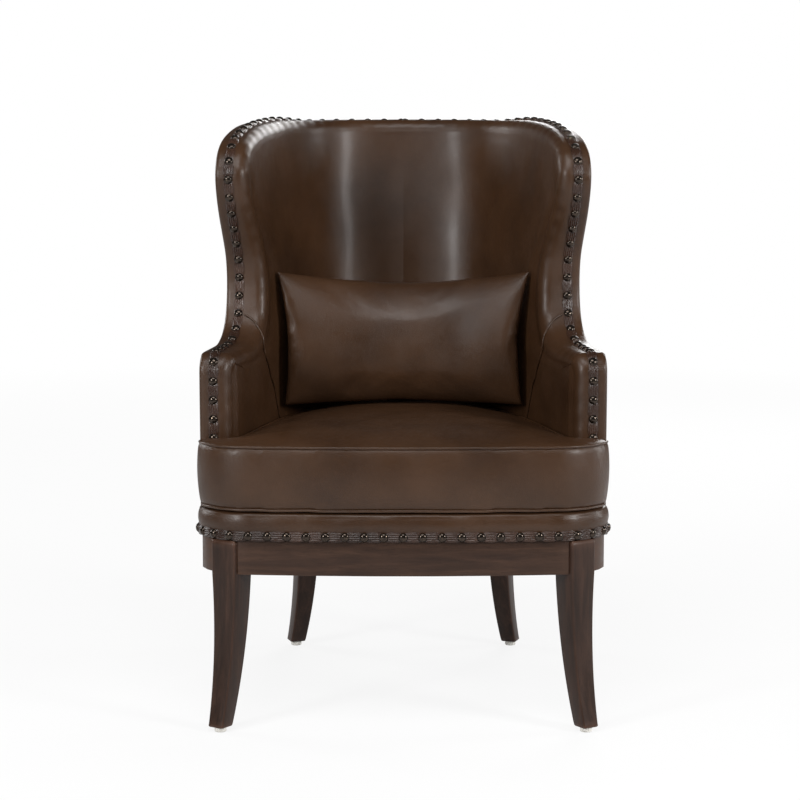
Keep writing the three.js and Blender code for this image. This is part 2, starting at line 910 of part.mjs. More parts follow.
// The roll stands on the front rail, outside the spring clips, and swells over them
function edgeRoll() {
  const skin = bandSkin(underCover).filter(([, z]) => z > railTop);
  const foot = clipInset - gap;
  return frontSweep([
    [underCover, railTop + gap],
    ...skin,
    [edgeRollDepth, clothBottom],
    [foot, clothBottom],
    [foot, railTop + gap],
  ]);
}

function dustCover() {
  const inset = railInset + railThickness / 2;
  const slab = seatSlab(inset, railBottom - gap - dustClothThickness, railBottom - gap);
  return corners.reduce(
    (sheet, [, front, side]) => sheet.subtract(legClearance(front, side)),
    slab,
  );
}

// Nail-head trim

// A nail head: a low faceted cone on the strip, facing along an outward direction
const nailSides = 6;

function nailHead(at, outward) {
  const cone = new THREE.ConeGeometry(nailRadius, nailHeight + stripThickness / 2, nailSides, 1);
  cone.translate(0, (nailHeight - stripThickness / 2) / 2, 0);
  cone.applyQuaternion(
    new THREE.Quaternion().setFromUnitVectors(new THREE.Vector3(0, 1, 0), outward),
  );
  cone.translate(at.x, at.y, at.z);
  return toSolid(cone);
}

// Nails every pitch along a path of strip centres
function nailRow(path, startAt) {
  const heads = [];
  let travelled = 0;
  let next = startAt;
  for (let i = 0; i + 1 < path.length; i++) {
    const run = path[i].at.distanceTo(path[i + 1].at);
    while (next <= travelled + run) {
      const share = (next - travelled) / run;
      heads.push(
        nailHead(
          path[i].at.clone().lerp(path[i + 1].at, share),
          path[i].out.clone().lerp(path[i + 1].out, share).normalize(),
        ),
      );
      next += nailPitch;
    }
    travelled += run;
  }
  return heads;
}

function joined(solids) {
  return solids.reduce((sum, solid) => sum.add(solid));
}

// A strip along a row of sections, with its nails. Each section has its inner and outer corner
// at the strip's first edge, then the same at its other edge.
function nailStrip(sections) {
  const rings = sections.map(([a, b, c, d]) => [a, b, d, c]);
  const path = sections.map(([inner, outer, , farOuter]) => ({
    at: outer.clone().lerp(farOuter, 0.5),
    out: outer.clone().sub(inner).normalize(),
  }));
  const length = path.slice(1).reduce((sum, p, i) => sum + p.at.distanceTo(path[i].at), 0);
  const start = Math.max((length % nailPitch) / 2, nailRadius);
  return joined([loft(rings), ...nailRow(path, start)]);
}

const stripFaces = [trimGap, trimGap + stripThickness];

// The strip on the rim's face, from just over the deck to the middle of the top
function rimTrim() {
  const first = rim.findIndex((p) => p.y > deckTop);
  const sections = rim.slice(first).map((_, i) =>
    [stripStart, stripStart + stripWidth].flatMap((depth) =>
      stripFaces.map((proud) => placed(first + i, -proud, 0, depth)),
    ),
  );
  sections[sections.length - 1].forEach((p) => (p.x = gap / 2));
  return nailStrip(sections);
}

// The strip round the foot of the covers: the front run, and one run along each side
function baseTrim(front) {
  const edges = [coverBottom - gap, coverBottom - gap + stripWidth];
  const frontSection = ([curve, t]) =>
    edges.flatMap((z) =>
      stripFaces.map((proud) => {
        const p = offsetPoint(curve, t, -proud);
        return new THREE.Vector3(p.x, p.y, z);
      }),
    );
  const sideSection = (share) =>
    edges.flatMap((z) => stripFaces.map((proud) => shellPoint(share, z, -proud)));
  const right = front
    ? frontPlaces().map(frontSection)
    : [...planShares].reverse().map(sideSection);
  const middle = right[right.length - 1];
  middle.forEach((p) => (p.x = front ? 0 : gap / 2));
  const left = right.slice(0, -1).reverse().map((ring) => ring.map(mirrored));
  return nailStrip(front ? [...right, ...left] : right);
}

// Seat cushion

// Half outline from the middle of the front, round the ear and the notch at the arm front, and
// along the inner covers to the middle of the back
const notchFront =
  -armFrontReach - armTangent.x * (stripStart + stripWidth) - trimGap - stripThickness - nailHeight;

function cushionOutline(inset) {
  const notchY = notchFront - cushionNotch - inset;
  const ear = [];
  for (let i = bowSteps; i > 0; i--) ear.push(offsetPoint(bowCurve, i / bowSteps, inset - cushionProud));
  for (let i = cornerSteps; i >= 0; i--) {
    const t = lerp(earStartShare, 1, i / cornerSteps);
    const p = offsetPoint(cornerCurve, t, inset - cushionProud);
    ear.push(new THREE.Vector2(p.x, Math.min(p.y, notchY - rimOuterRadius)));
  }
  ear[0].x = 0;
  const side = ear[ear.length - 1];
  side.y = notchY - rimOuterRadius;
  ear.push(new THREE.Vector2(side.x - rimOuterRadius, notchY));
  const body = [...planShares]
    .reverse()
    .filter((share) => share < 1)
    .map((share) => {
      const depth = thicknessAt(share, deckTop) + cushionSideClearance + inset;
      const p = shellPoint(share, deckTop, depth);
      return new THREE.Vector2(p.x, p.y);
    });
  const shoulder = shellPoint(1, deckTop, rimThickness + cushionSideClearance + inset);
  return [...ear, new THREE.Vector2(shoulder.x, notchY), ...body];
}

// Middle line that an outline point runs in to: level with it between the arms, and a little
// in front of the notch for the ears
function cushionSpine(p) {
  const notch = -armFrontReach;
  const front = notchFront - cushionNotch - rimInnerRadius;
  if (p.y < notch) return new THREE.Vector2(0, lerp(front, Math.max(p.y, front), 0.5));
  return new THREE.Vector2(0, Math.min(p.y, sideShoulderY));
}

const earStartShare = 0.15;

// Height and inset of each ring of the boxing, as shares of the boxing height, from the bottom
const boxingShares = [0, 0.05, 0.5, 0.95, 1];
const crownShares = [0.25, 1];

function boxingInset(share, skin) {
  const nearWelt = share < 0.06 || share > 0.94;
  if (share === 0 || share === 1) return welt + skin;
  if (nearWelt) return skin;
  const bulge = Math.sin(share * Math.PI);
  return welt * (1 - bulge) - (cushionBulge - cushionProud) * bulge + skin;
}

function cushionSolid(skin) {
  const rings = [];
  const bottom = deckTop + gap + skin;
  const height = cushionHeight - 2 * skin;
  const base = cushionOutline(boxingInset(0, skin));
  const spine = base.map(cushionSpine);
  const flat = (points, z) => points.map((p) => new THREE.Vector3(p.x, p.y, z));
  rings.push(flat(spine, bottom));
  for (const share of boxingShares)
    rings.push(flat(cushionOutline(boxingInset(share, skin)), bottom + height * share));
  const edge = cushionOutline(boxingInset(1, skin));
  for (const share of crownShares)
    rings.push(
      edge.map((p, i) => {
        const q = p.clone().lerp(spine[i], share);
        const crown = cushionCrown * Math.sin((Math.sqrt(share) * Math.PI) / 2);
        return new THREE.Vector3(q.x, q.y, bottom + height + crown);
      }),
    );
  const faces = [];
  gridFaces(rings, faces);
  const solid = mirroredSolid(faces);
  return solid.volume() < 0 ? mirroredSolid(turned(faces)) : solid;
}

function cushionPieces() {
  const outer = cushionSolid(0);
  const hollow = cushionSolid(leather);
  const panelTop = deckTop + gap + leather;
  const cover = outer.subtract(hollow).subtract(cushionMouth(panelTop));
  return {
    cover,
    panel: mouthPanel(panelTop).subtract(cover),
    core: cushionSolid(leather + gap),
  };
}

// The cover is open underneath, inside a seam allowance, and the bottom panel closes it
function underside(inset, bottom, top) {
  const half = cushionOutline(inset);
  const shape = new THREE.Shape(closedOutline(half));
  const slab = new THREE.ExtrudeGeometry(shape, { depth: top - bottom, bevelEnabled: false });
  slab.translate(0, 0, bottom);
  return toSolid(slab);
}

const cushionMouth = (top) => underside(seamAllowance, deckTop - overrun, top + gap / 2);
const mouthPanel = (top) => underside(seamAllowance + 3 * gap, deckTop + gap, top);

// Lumbar pillow: a knife-edged pillow, bowed back between its corners, its top and sides drawn in
const pillowSteps = 8;
const swellPower = 0.55;
const pillowFoot = deckTop + cushionHeight + cushionCrown + 2 * gap;

// A point of the pillow: across and up from -1 to 1, on its front (-1), back (1) or middle (0)
function pillowPoint(across, up, side, skin) {
  const rise = (up + 1) / 2;
  const halfWidth =
    lerp(pillowFootWidth, pillowTopWidth, rise) / 2 - pillowSideDip * (1 - up * up);
  const x = across * (halfWidth - skin);
  const bow = 1 - (x / halfWidth) ** 2;
  const top = pillowHeight - pillowTopDip * bow - skin;
  const full = Math.pow(Math.max(0, (1 - across * across) * (1 - up * up)), swellPower);
  const swell = (side < 0 ? pillowFrontSwell : pillowBackSwell) - skin;
  const middle = lerp(pillowFootY, pillowTopY, rise) - pillowCornerY;
  return new THREE.Vector3(
    x,
    pillowCornerY + middle * bow + side * full * swell,
    pillowFoot + lerp(skin, top, rise),
  );
}

function pillowSolid(skin) {
  const faces = [];
  const at = (i) => (i / pillowSteps) * 2 - 1;
  for (const side of [-1, 1]) {
    const grid = [];
    for (let i = 0; i <= pillowSteps; i++) {
      const row = [];
      for (let j = 0; j <= pillowSteps; j++) row.push(pillowPoint(at(i), at(j), side, skin));
      grid.push(row);
    }
    gridFaces(grid, faces, side > 0);
  }
  const solid = toSolid(fromTriangles(faces));
  return solid.volume() < 0 ? toSolid(fromTriangles(turned(faces))) : solid;
}

// Everything in front of the pillow's middle surface, where its seam runs, moved back a little
function pillowFrontSide(shift) {
  const rings = [];
  const at = (i) => (i / pillowSteps) * 2 - 1;
  for (let i = -1; i <= pillowSteps + 1; i++) {
    const ring = [];
    for (let j = -1; j <= pillowSteps + 1; j++) ring.push(pillowPoint(at(i), at(j), 0, 0));
    ring.forEach((p) => (p.y += shift));
    const far = [ring[ring.length - 1], ring[0]].map((p) => p.clone());
    far.forEach((p) => (p.y = -pillowHeight));
    rings.push([...ring, ...far]);
  }
  return loft(rings);
}

function pillowPieces() {
  const wall = pillowSolid(0).subtract(pillowSolid(pillowPanelWall));
  return {
    front: wall.intersect(pillowFrontSide(0)),
    back: wall.subtract(pillowFrontSide(gap)),
    fill: pillowSolid(pillowPanelWall + 3 * gap),
  };
}

// Materials

const finish = (color, roughness, metalness) =>
  new THREE.MeshStandardMaterial({ color, roughness, metalness });
const brownLeather = finish(0x4a3428, 0.38, 0);
const trimLeather = finish(0x3f2a20, 0.45, 0);
const stainedWood = finish(0x3a2a20, 0.4, 0);
const rawWood = finish(0xb48e5f, 0.75, 0);
const foam = finish(0xe6dfc9, 0.95, 0);
const steel = finish(0x8a8c8e, 0.35, 1);
const darkCloth = finish(0x1c1b1a, 0.95, 0);
const paleNylon = finish(0xe4e2dc, 0.5, 0);
const fibre = finish(0xece8df, 1, 0);

// Assembly

const chair = new THREE.Group();
// Middle of the bounding box in depth goes to the origin
const trimProud = trimGap + stripThickness + nailHeight;
chair.position.y = (frontReach + trimProud - rearReach - backLean) / 2;

function piece(name, solid, material) {
  const mesh = new THREE.Mesh(toGeometry(solid), material);
  mesh.name = name;
  chair.add(mesh);
}

function addWoodFrame() {
  for (const [name, solid] of Object.entries(railPieces())) piece(name, solid, stainedWood);
  for (const [name, front, side] of corners) {
    piece(name + "_leg", legSolid(front, side).subtract(boltHole(front, side)), stainedWood);
    piece(name + "_glide", glide(front, side), paleNylon);
    piece(name + "_corner_block", cornerBlock(front, side), rawWood);
    piece(name + "_leg_bolt", leadBolt(front, side), steel);
  }
}

function addSeatPlatform() {
  for (let i = 0; i < springCount; i++) piece("seat_spring_" + (i + 1), seatSpring(i), steel);
  piece("front_spring_clip_strip", clipStrip(true), steel);
  piece("rear_spring_clip_strip", clipStrip(false), steel);
  const behindRoll = edgeRollDepth + gap;
  const cloth = platformSlab(clothBottom + gap, padBottom - gap, clothSide, behindRoll);
  piece("deck_cloth", cloth, darkCloth);
  piece("deck_pad", platformSlab(padBottom, deckTop, padSide, behindRoll), foam);
  piece("front_edge_roll", edgeRoll(), foam);
  piece("border_cover", borderCover(), brownLeather);
  piece("dust_cover", dustCover(), darkCloth);
}

function addShellFrame() {
  const boards = shellBody(underCover, railTop + gap).intersect(
    curtain(-overrun, boardEnd, coverBottom),
  );
  const back = boards.intersect(behind(boardJointReach));
  const sides = boards.subtract(behind(boardJointReach - gap));
  piece("left_side_panel", toLeft(sides), rawWood);
  piece("right_side_panel", toRight(sides), rawWood);
  const topRailZ = backTop - topRailHeight;
  const lowerRailZ = railTop + lowerRailHeight;
  piece("top_rail", back.intersect(above(topRailZ)), rawWood);
  piece("lower_back_rail", back.subtract(above(lowerRailZ)), rawWood);
  const posts = back
    .subtract(above(topRailZ - gap))
    .intersect(above(lowerRailZ + gap))
    .subtract(within(postHalfWidth));
  piece("left_back_post", toLeft(posts), rawWood);
  piece("right_back_post", toRight(posts), rawWood);
}

// Webbing across the inner face of the posts and rails
function webbing() {
  const sheet = shellBody(underCover, padBottom).intersect(
    curtain(webbingStart, webbingStart + webbingThickness, padBottom),
  );
  return sheet.intersect(behind(boardJointReach + overrun)).intersect(above(padBottom));
}

function addShellPadding(skin) {
  const padding = shellBody(underCover + gap, padBottom)
    .intersect(curtain(foamStart, farDepth, coverBottom))
    .intersect(above(padBottom))
    .subtract(skin);
  const arms = padding.intersect(armRegion(gap));
  piece("back_webbing", webbing(), darkCloth);
  piece("back_foam", padding.subtract(armRegion(0)), foam);
  piece("left_arm_foam", toLeft(arms), foam);
  piece("right_arm_foam", toRight(arms), foam);
}

function addCovers(skin) {
  const outside = skin
    .intersect(curtain(-overrun, coverJoint - gap))
    .subtract(seatSlab(underCover, coverBottom - overrun, railTop + gap));
  const inside = skin.intersect(curtain(coverJoint + gap, farDepth)).intersect(above(padBottom));
  const arms = inside.intersect(armRegion(gap));
  piece("inside_back_cover", inside.subtract(armRegion(0)), brownLeather);
  piece("left_inside_arm_cover", toLeft(arms), brownLeather);
  piece("right_inside_arm_cover", toRight(arms), brownLeather);
  const sides = outside.subtract(behind(boardJointReach - gap));
  piece("outside_back_cover", outside.intersect(behind(boardJointReach)), brownLeather);
  piece("left_outside_cover", toLeft(sides), brownLeather);
  piece("right_outside_cover", toRight(sides), brownLeather);
}

function addNailTrim() {
  const right = rimTrim();
  piece("right_rim_nail_trim", right, trimLeather);
  piece("left_rim_nail_trim", flipped(right), trimLeather);
  piece("front_base_nail_trim", baseTrim(true), trimLeather);
  const side = baseTrim(false);
  piece("right_base_nail_trim", side, trimLeather);
  piece("left_base_nail_trim", flipped(side), trimLeather);
}

// The same piece for the left side
function flipped(solid) {
  const geometry = toGeometry(solid);
  const points = [];
  const position = geometry.getAttribute("position");
  for (let i = 0; i < position.count; i++)
    points.push(mirrored(new THREE.Vector3().fromBufferAttribute(position, i)));
  return toSolid(fromTriangles(turned(points)));
}

function addCushions() {
  const seat = cushionPieces();
  piece("seat_cushion_cover", seat.cover, brownLeather);
  piece("seat_cushion_bottom_panel", seat.panel, brownLeather);
  piece("seat_cushion_core", seat.core, foam);
  const pillow = pillowPieces();
  piece("lumbar_pillow_front", pillow.front, brownLeather);
  piece("lumbar_pillow_back", pillow.back, brownLeather);
  piece("lumbar_pillow_fill", pillow.fill, fibre);
}

const skin = leatherSkin();
addWoodFrame();
addSeatPlatform();
addShellFrame();
addShellPadding(skin);
addCovers(skin);
addNailTrim();
addCushions();

export default chair;
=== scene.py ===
"""Looks for the wingback armchair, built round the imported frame. Lengths are millimetres until a
mesh is made, which turns them into metres in the frame's own axes."""

import json
import math

import bmesh
import bpy
import numpy as np
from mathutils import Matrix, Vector
from mathutils.bvhtree import BVHTree


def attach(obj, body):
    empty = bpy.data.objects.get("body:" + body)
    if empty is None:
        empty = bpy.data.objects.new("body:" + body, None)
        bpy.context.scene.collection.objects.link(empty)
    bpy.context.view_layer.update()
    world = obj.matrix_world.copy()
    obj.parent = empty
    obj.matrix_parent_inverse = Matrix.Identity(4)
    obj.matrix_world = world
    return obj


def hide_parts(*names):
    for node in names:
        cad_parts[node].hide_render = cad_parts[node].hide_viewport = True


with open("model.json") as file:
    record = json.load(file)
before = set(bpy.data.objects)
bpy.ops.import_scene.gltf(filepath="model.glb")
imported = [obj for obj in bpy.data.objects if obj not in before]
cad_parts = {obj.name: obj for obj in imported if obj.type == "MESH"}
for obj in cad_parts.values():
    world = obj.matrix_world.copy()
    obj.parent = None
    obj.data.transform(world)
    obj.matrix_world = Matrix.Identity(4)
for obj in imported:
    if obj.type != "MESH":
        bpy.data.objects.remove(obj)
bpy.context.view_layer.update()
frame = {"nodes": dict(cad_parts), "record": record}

MM = 0.001
GAP = 0.3

# Heights, plan and trim of the chair, as the frame has them
GLIDE_HEIGHT, RAIL_BOTTOM, COVER_BOTTOM, DECK_TOP = 9, 265, 322, 370
CUSHION_HEIGHT, ARM_TOP, BACK_TOP = 110, 623, 1000
REAR_REACH, REAR_SHOULDER_X, SIDE_SHOULDER_X, SIDE_SHOULDER_Y = 300, 240, 290, 140
ARM_HALF_WIDTH, ARM_FRONT_REACH, BACK_LEAN = 341, 250, 45
CORNER_X, CORNER_REACH, FRONT_REACH, CORNER_HANDLE, BOW_HANDLE = 250, 345, 358, 48, 82
RIM_THICKNESS, RIM_OUTER_RADIUS, RIM_INNER_RADIUS, BACK_THICKNESS = 53, 6, 20, 97
WING_DEPTH, ARM_CORNER_RADIUS, SPINE_TOP = 400, 33, 700
STRIP_START, STRIP_WIDTH, TRIM_GAP, STRIP_THICKNESS = 15, 18, 0.8, 2
NAIL_RADIUS, NAIL_STAND, NAIL_PITCH = 7.6, 4.5, 32
INSIDE_BOTTOM, RIM_STRIP_BOTTOM, ARM_SEAM_TOP, OUTSIDE_SEAM_Y = 353.5, 377, 700, 100
STRIP_SINK, BOARD_DROP, BOARD_INSET, BARREL_MIDDLE_Y = 6.5, 8.5, 1.6, 60

# How far back the frame's origin lies from the one that the plan is written in
TO_ROW_Y = (FRONT_REACH + TRIM_GAP + STRIP_THICKNESS + NAIL_STAND - REAR_REACH - BACK_LEAN) / 2


def lerp(a, b, t):
    return a + (b - a) * t


def smooth(t):
    t = np.clip(t, 0, 1)
    return t * t * (3 - 2 * t)


def bump(x, width):
    """A soft hill of height 1 at 0."""
    return np.exp(-((x / width) ** 2))


def unit(vectors):
    """Vectors scaled to length 1."""
    return vectors / np.linalg.norm(vectors, axis=-1, keepdims=True)


def run_along(points):
    """Distance from the start of a line at each of its points."""
    return np.concatenate([[0], np.cumsum(np.linalg.norm(np.diff(points, axis=0), axis=1))])


# Plan curves


def bezier(points, t):
    """Points of a cubic Bezier curve at some parameters."""
    a, b, c, d = (np.asarray(p, float) for p in points)
    t = np.asarray(t)[..., None]
    return (1 - t) ** 3 * a + 3 * (1 - t) ** 2 * t * b + 3 * (1 - t) * t * t * c + t**3 * d


def bezier_direction(points, t):
    """Which way the curve runs at some parameters."""
    a, b, c, d = (np.asarray(p, float) for p in points)
    t = np.asarray(t)[..., None]
    return unit(3 * (1 - t) ** 2 * (b - a) + 6 * (1 - t) * t * (c - b) + 3 * t * t * (d - c))


def even_shares(points, count=400):
    """Shares of the length along a Bezier curve, the curve parameter at each, and the length."""
    t = np.linspace(0, 1, count)
    run = run_along(bezier(points, t))
    return run / run[-1], t, run[-1]


def plan_points(lean):
    """Control points of the outer plan curve, for one lean or an array of leans."""
    return (
        np.stack([0 * lean, REAR_REACH + lean], -1),
        np.stack([0 * lean + REAR_SHOULDER_X, REAR_REACH + lean], -1),
        np.stack([0 * lean + SIDE_SHOULDER_X, SIDE_SHOULDER_Y + lean / 2], -1),
        np.array([ARM_HALF_WIDTH, -ARM_FRONT_REACH], float),
    )


LEANS = np.linspace(-5, BACK_LEAN + 2, 9)
LEAN_TABLES = [even_shares(plan_points(lean)) for lean in LEANS]
PLAN_LENGTH = even_shares(plan_points(0))[2]


def plan_at(share, z):
    """Outer plan curve at a height: place and direction, for arrays of shares and heights."""
    share, z = np.broadcast_arrays(np.asarray(share, float), np.asarray(z, float))
    lean = BACK_LEAN * (z - COVER_BOTTOM) / (BACK_TOP - COVER_BOTTOM)
    inside = np.clip(share, 0, 1)
    tables = np.stack([np.interp(inside, s, t) for s, t, _ in LEAN_TABLES])
    place = np.clip((lean - LEANS[0]) / (LEANS[1] - LEANS[0]), 0, len(LEANS) - 1.001)
    low = place.astype(int)
    rest = place - low
    lower, upper = (np.take_along_axis(tables, k[None], axis=0)[0] for k in (low, low + 1))
    t = lower * (1 - rest) + upper * rest
    at, along = bezier(plan_points(lean), t), bezier_direction(plan_points(lean), t)
    beyond = (np.maximum(share, 1) - 1) * PLAN_LENGTH
    return at + along * beyond[..., None], along


def shell_point(share, z, depth):
    """A point of the shell: share of the way round the plan, height, and depth inwards."""
    at, along = plan_at(share, z)
    z = np.broadcast_to(z, at.shape[:-1])
    x = at[..., 0] + along[..., 1] * depth
    y = at[..., 1] - along[..., 0] * depth
    return np.stack([x, y, z], -1)


def share_at(y, z):
    """Shares of the way round the plan at which the outside lies at given places from the front."""
    shares = np.linspace(0, 1, 600)
    return np.array(
        [np.interp(-yy, -plan_at(shares, zz)[0][:, 1], shares) for yy, zz in zip(y, z)]
    )


def padding_at(share, z):
    """Thickness of the padded shell."""
    high = smooth((z - ARM_TOP) / (BACK_TOP - ARM_TOP))
    power = lerp(0.6, 1.2, high)
    field = (BACK_THICKNESS - RIM_THICKNESS) * np.maximum(0, 1 - share) ** power
    return RIM_THICKNESS + field * lerp(1, 0.25, high * high)


# Rim of the shell

# The wing's edge: share of the wing's depth from the arm's front, and of the height over the arm
WING_SHARES = np.array([
    [0.2, -0.002], [0.34, 0.004], [0.425, 0.032], [0.48, 0.075], [0.515, 0.135],
    [0.533, 0.21], [0.537, 0.3], [0.52, 0.39], [0.47, 0.485], [0.41, 0.581],
    [0.365, 0.671], [0.345, 0.751], [0.355, 0.814], [0.395, 0.875], [0.47, 0.922],
    [0.5875, 0.956], [0.76, 0.984], [1, 1],
])


def spline(points, count):
    """Even points on a smooth curve through some points."""
    p = np.asarray(points, float)
    ends = np.vstack([2 * p[0] - p[1], p, 2 * p[-1] - p[-2]])
    out = []
    for a, b, c, d in zip(ends, ends[1:], ends[2:], ends[3:]):
        t = np.linspace(0, 1, 30, endpoint=False)[:, None]
        out.append(
            0.5 * (2 * b + (c - a) * t + (2 * a - 5 * b + 4 * c - d) * t**2
                   + (3 * b - a - 3 * c + d) * t**3)
        )
    dense = np.vstack(out + [p[-1:]])
    run = run_along(dense)
    at = np.linspace(0, run[-1], count)
    return np.stack([np.interp(at, run, dense[:, k]) for k in range(p.shape[1])], 1)


def rim_line(bottom, step=5):
    """Even points along the rim, as distance round the plan and height, their inward side, and
    the rim's length."""
    corner = ARM_TOP - ARM_CORNER_RADIUS
    points = [(PLAN_LENGTH, z) for z in np.linspace(bottom, corner - 12, 8)]
    y, z = [], []
    for turn in np.radians([0.1, 15, 30, 45, 60, 75]):
        y.append(-ARM_FRONT_REACH + ARM_CORNER_RADIUS * (1 - math.cos(turn)))
        z.append(corner + ARM_CORNER_RADIUS * math.sin(turn))
    for back, up in WING_SHARES:
        y.append(-ARM_FRONT_REACH + WING_DEPTH * back)
        z.append(lerp(ARM_TOP, BACK_TOP, up))
    points += list(zip(share_at(y, z) * PLAN_LENGTH, z))
    last = points[-1][0]
    points += [(last * k, BACK_TOP) for k in np.linspace(0.9, 0, 10)]
    rough = spline(points, 400)
    length = np.linalg.norm(np.diff(rough, axis=0), axis=1).sum()
    line = spline(points, int(length / step))
    line[-1] = (0, BACK_TOP)
    along = unit(np.gradient(line, axis=0))
    inwards = np.stack([-along[:, 1], along[:, 0]], 1)
    inwards[0], inwards[-1] = (-1, 0), (0, -1)
    return line, inwards, length


def rim_places(line, inwards, inset):
    """Places of the unrolled shell at some distance in from the rim."""
    return line + inwards * np.asarray(inset)[..., None]


def placed(place, depth):
    """Points of the shell at places given as distance round the plan and height."""
    return shell_point(place[..., 0] / PLAN_LENGTH, place[..., 1], depth)


def middle_line(line, bottom):
    """Where each row from the rim ends, on the middle of the back."""
    run = run_along(line)
    return np.stack([0 * run, lerp(bottom, SPINE_TOP, run / run[-1])], 1)


# Meshes


def linked(name, data):
    """A new object that holds some data, in the scene."""
    obj = bpy.data.objects.new(name, data)
    bpy.context.scene.collection.objects.link(obj)
    return obj


def make_object(name, vertices, faces, material):
    """A smooth mesh from millimetres in the plan's own frame."""
    points = np.asarray(vertices, float).reshape(-1, 3).copy()
    points[:, 1] += TO_ROW_Y
    mesh = bpy.data.meshes.new(name)
    mesh.from_pydata((points * MM).tolist(), [], [tuple(map(int, f)) for f in faces])
    mesh.polygons.foreach_set("use_smooth", [True] * len(mesh.polygons))
    mesh.materials.append(material)
    return linked(name, mesh)


def grid_faces(rows, columns, closed=False, flip=False):
    """Quads over a grid of points; closed joins its last column to its first."""
    steps = columns if closed else columns - 1
    i, j = np.meshgrid(np.arange(rows - 1), np.arange(steps), indexing="ij")
    near, far, after = i * columns, (i + 1) * columns, (j + 1) % columns
    quads = np.stack([near + j, far + j, far + after, near + after], -1).reshape(-1, 4)
    return quads[:, ::-1] if flip else quads


def tidy(obj, distance=0.02):
    """Joins doubled points and turns the faces outwards."""
    bm = bmesh.new()
    bm.from_mesh(obj.data)
    bmesh.ops.remove_doubles(bm, verts=bm.verts, dist=distance * MM)
    bmesh.ops.dissolve_degenerate(bm, edges=bm.edges, dist=1e-6)
    bmesh.ops.recalc_face_normals(bm, faces=bm.faces)
    bm.to_mesh(obj.data)
    bm.free()
    return obj


def applied(obj):
    """The object with its modifiers made permanent."""
    dg = bpy.context.evaluated_depsgraph_get()
    mesh = bpy.data.meshes.new_from_object(obj.evaluated_get(dg))
    mesh.name = obj.name
    obj.modifiers.clear()
    obj.data = mesh
    return obj


def tube(path, radius, sides=8, closed=False):
    """Points and faces of a round cord along a path of points."""
    p = np.asarray(path, float)
    along = np.gradient(p, axis=0)
    if closed:
        along = np.roll(p, -1, 0) - np.roll(p, 1, 0)
    along = unit(along)
    up = np.tile([0.0, 0, 1], (len(p), 1))
    up[np.abs(along[:, 2]) > 0.95] = (1, 0, 0)
    side = unit(np.cross(along, up))
    up = np.cross(side, along)
    turn = np.linspace(0, 2 * math.pi, sides, endpoint=False)[None, :, None]
    ring = radius * (np.cos(turn) * side[:, None] + np.sin(turn) * up[:, None])
    vertices = (p[:, None] + ring).reshape(-1, 3)
    rows = np.vstack([vertices, vertices[:sides]]) if closed else vertices
    return rows, grid_faces(len(p) + (1 if closed else 0), sides, closed=True)


def joined_tubes(name, paths, radius, sides, material, closed=False):
    """One piece that holds a round cord along each path."""
    points, faces = [], []
    for path in paths:
        rows, quads = tube(path, radius, sides, closed)
        faces.append(quads + sum(len(p) for p in points))
        points.append(rows)
    return tidy(make_object(name, np.vstack(points), np.vstack(faces), material))


def carries(obj, body, slot, *nodes):
    """The piece rides on a body and stands for some frame nodes; the finish slot is not used."""
    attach(obj, body)
    if nodes:
        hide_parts(*nodes)
    return obj


def ripple(points, scale, seed, waves=14):
    """Smooth irregular lumps between -1 and 1 over points in millimetres."""
    rng = np.random.default_rng(seed)
    total = np.zeros(points.shape[:-1])
    for _ in range(waves):
        way = rng.normal(size=3)
        way *= 2 * math.pi * rng.uniform(0.6, 1.5) / (scale * np.linalg.norm(way))
        total += np.sin(points @ way + rng.uniform(0, 2 * math.pi))
    return total / math.sqrt(waves * 2)


# Materials


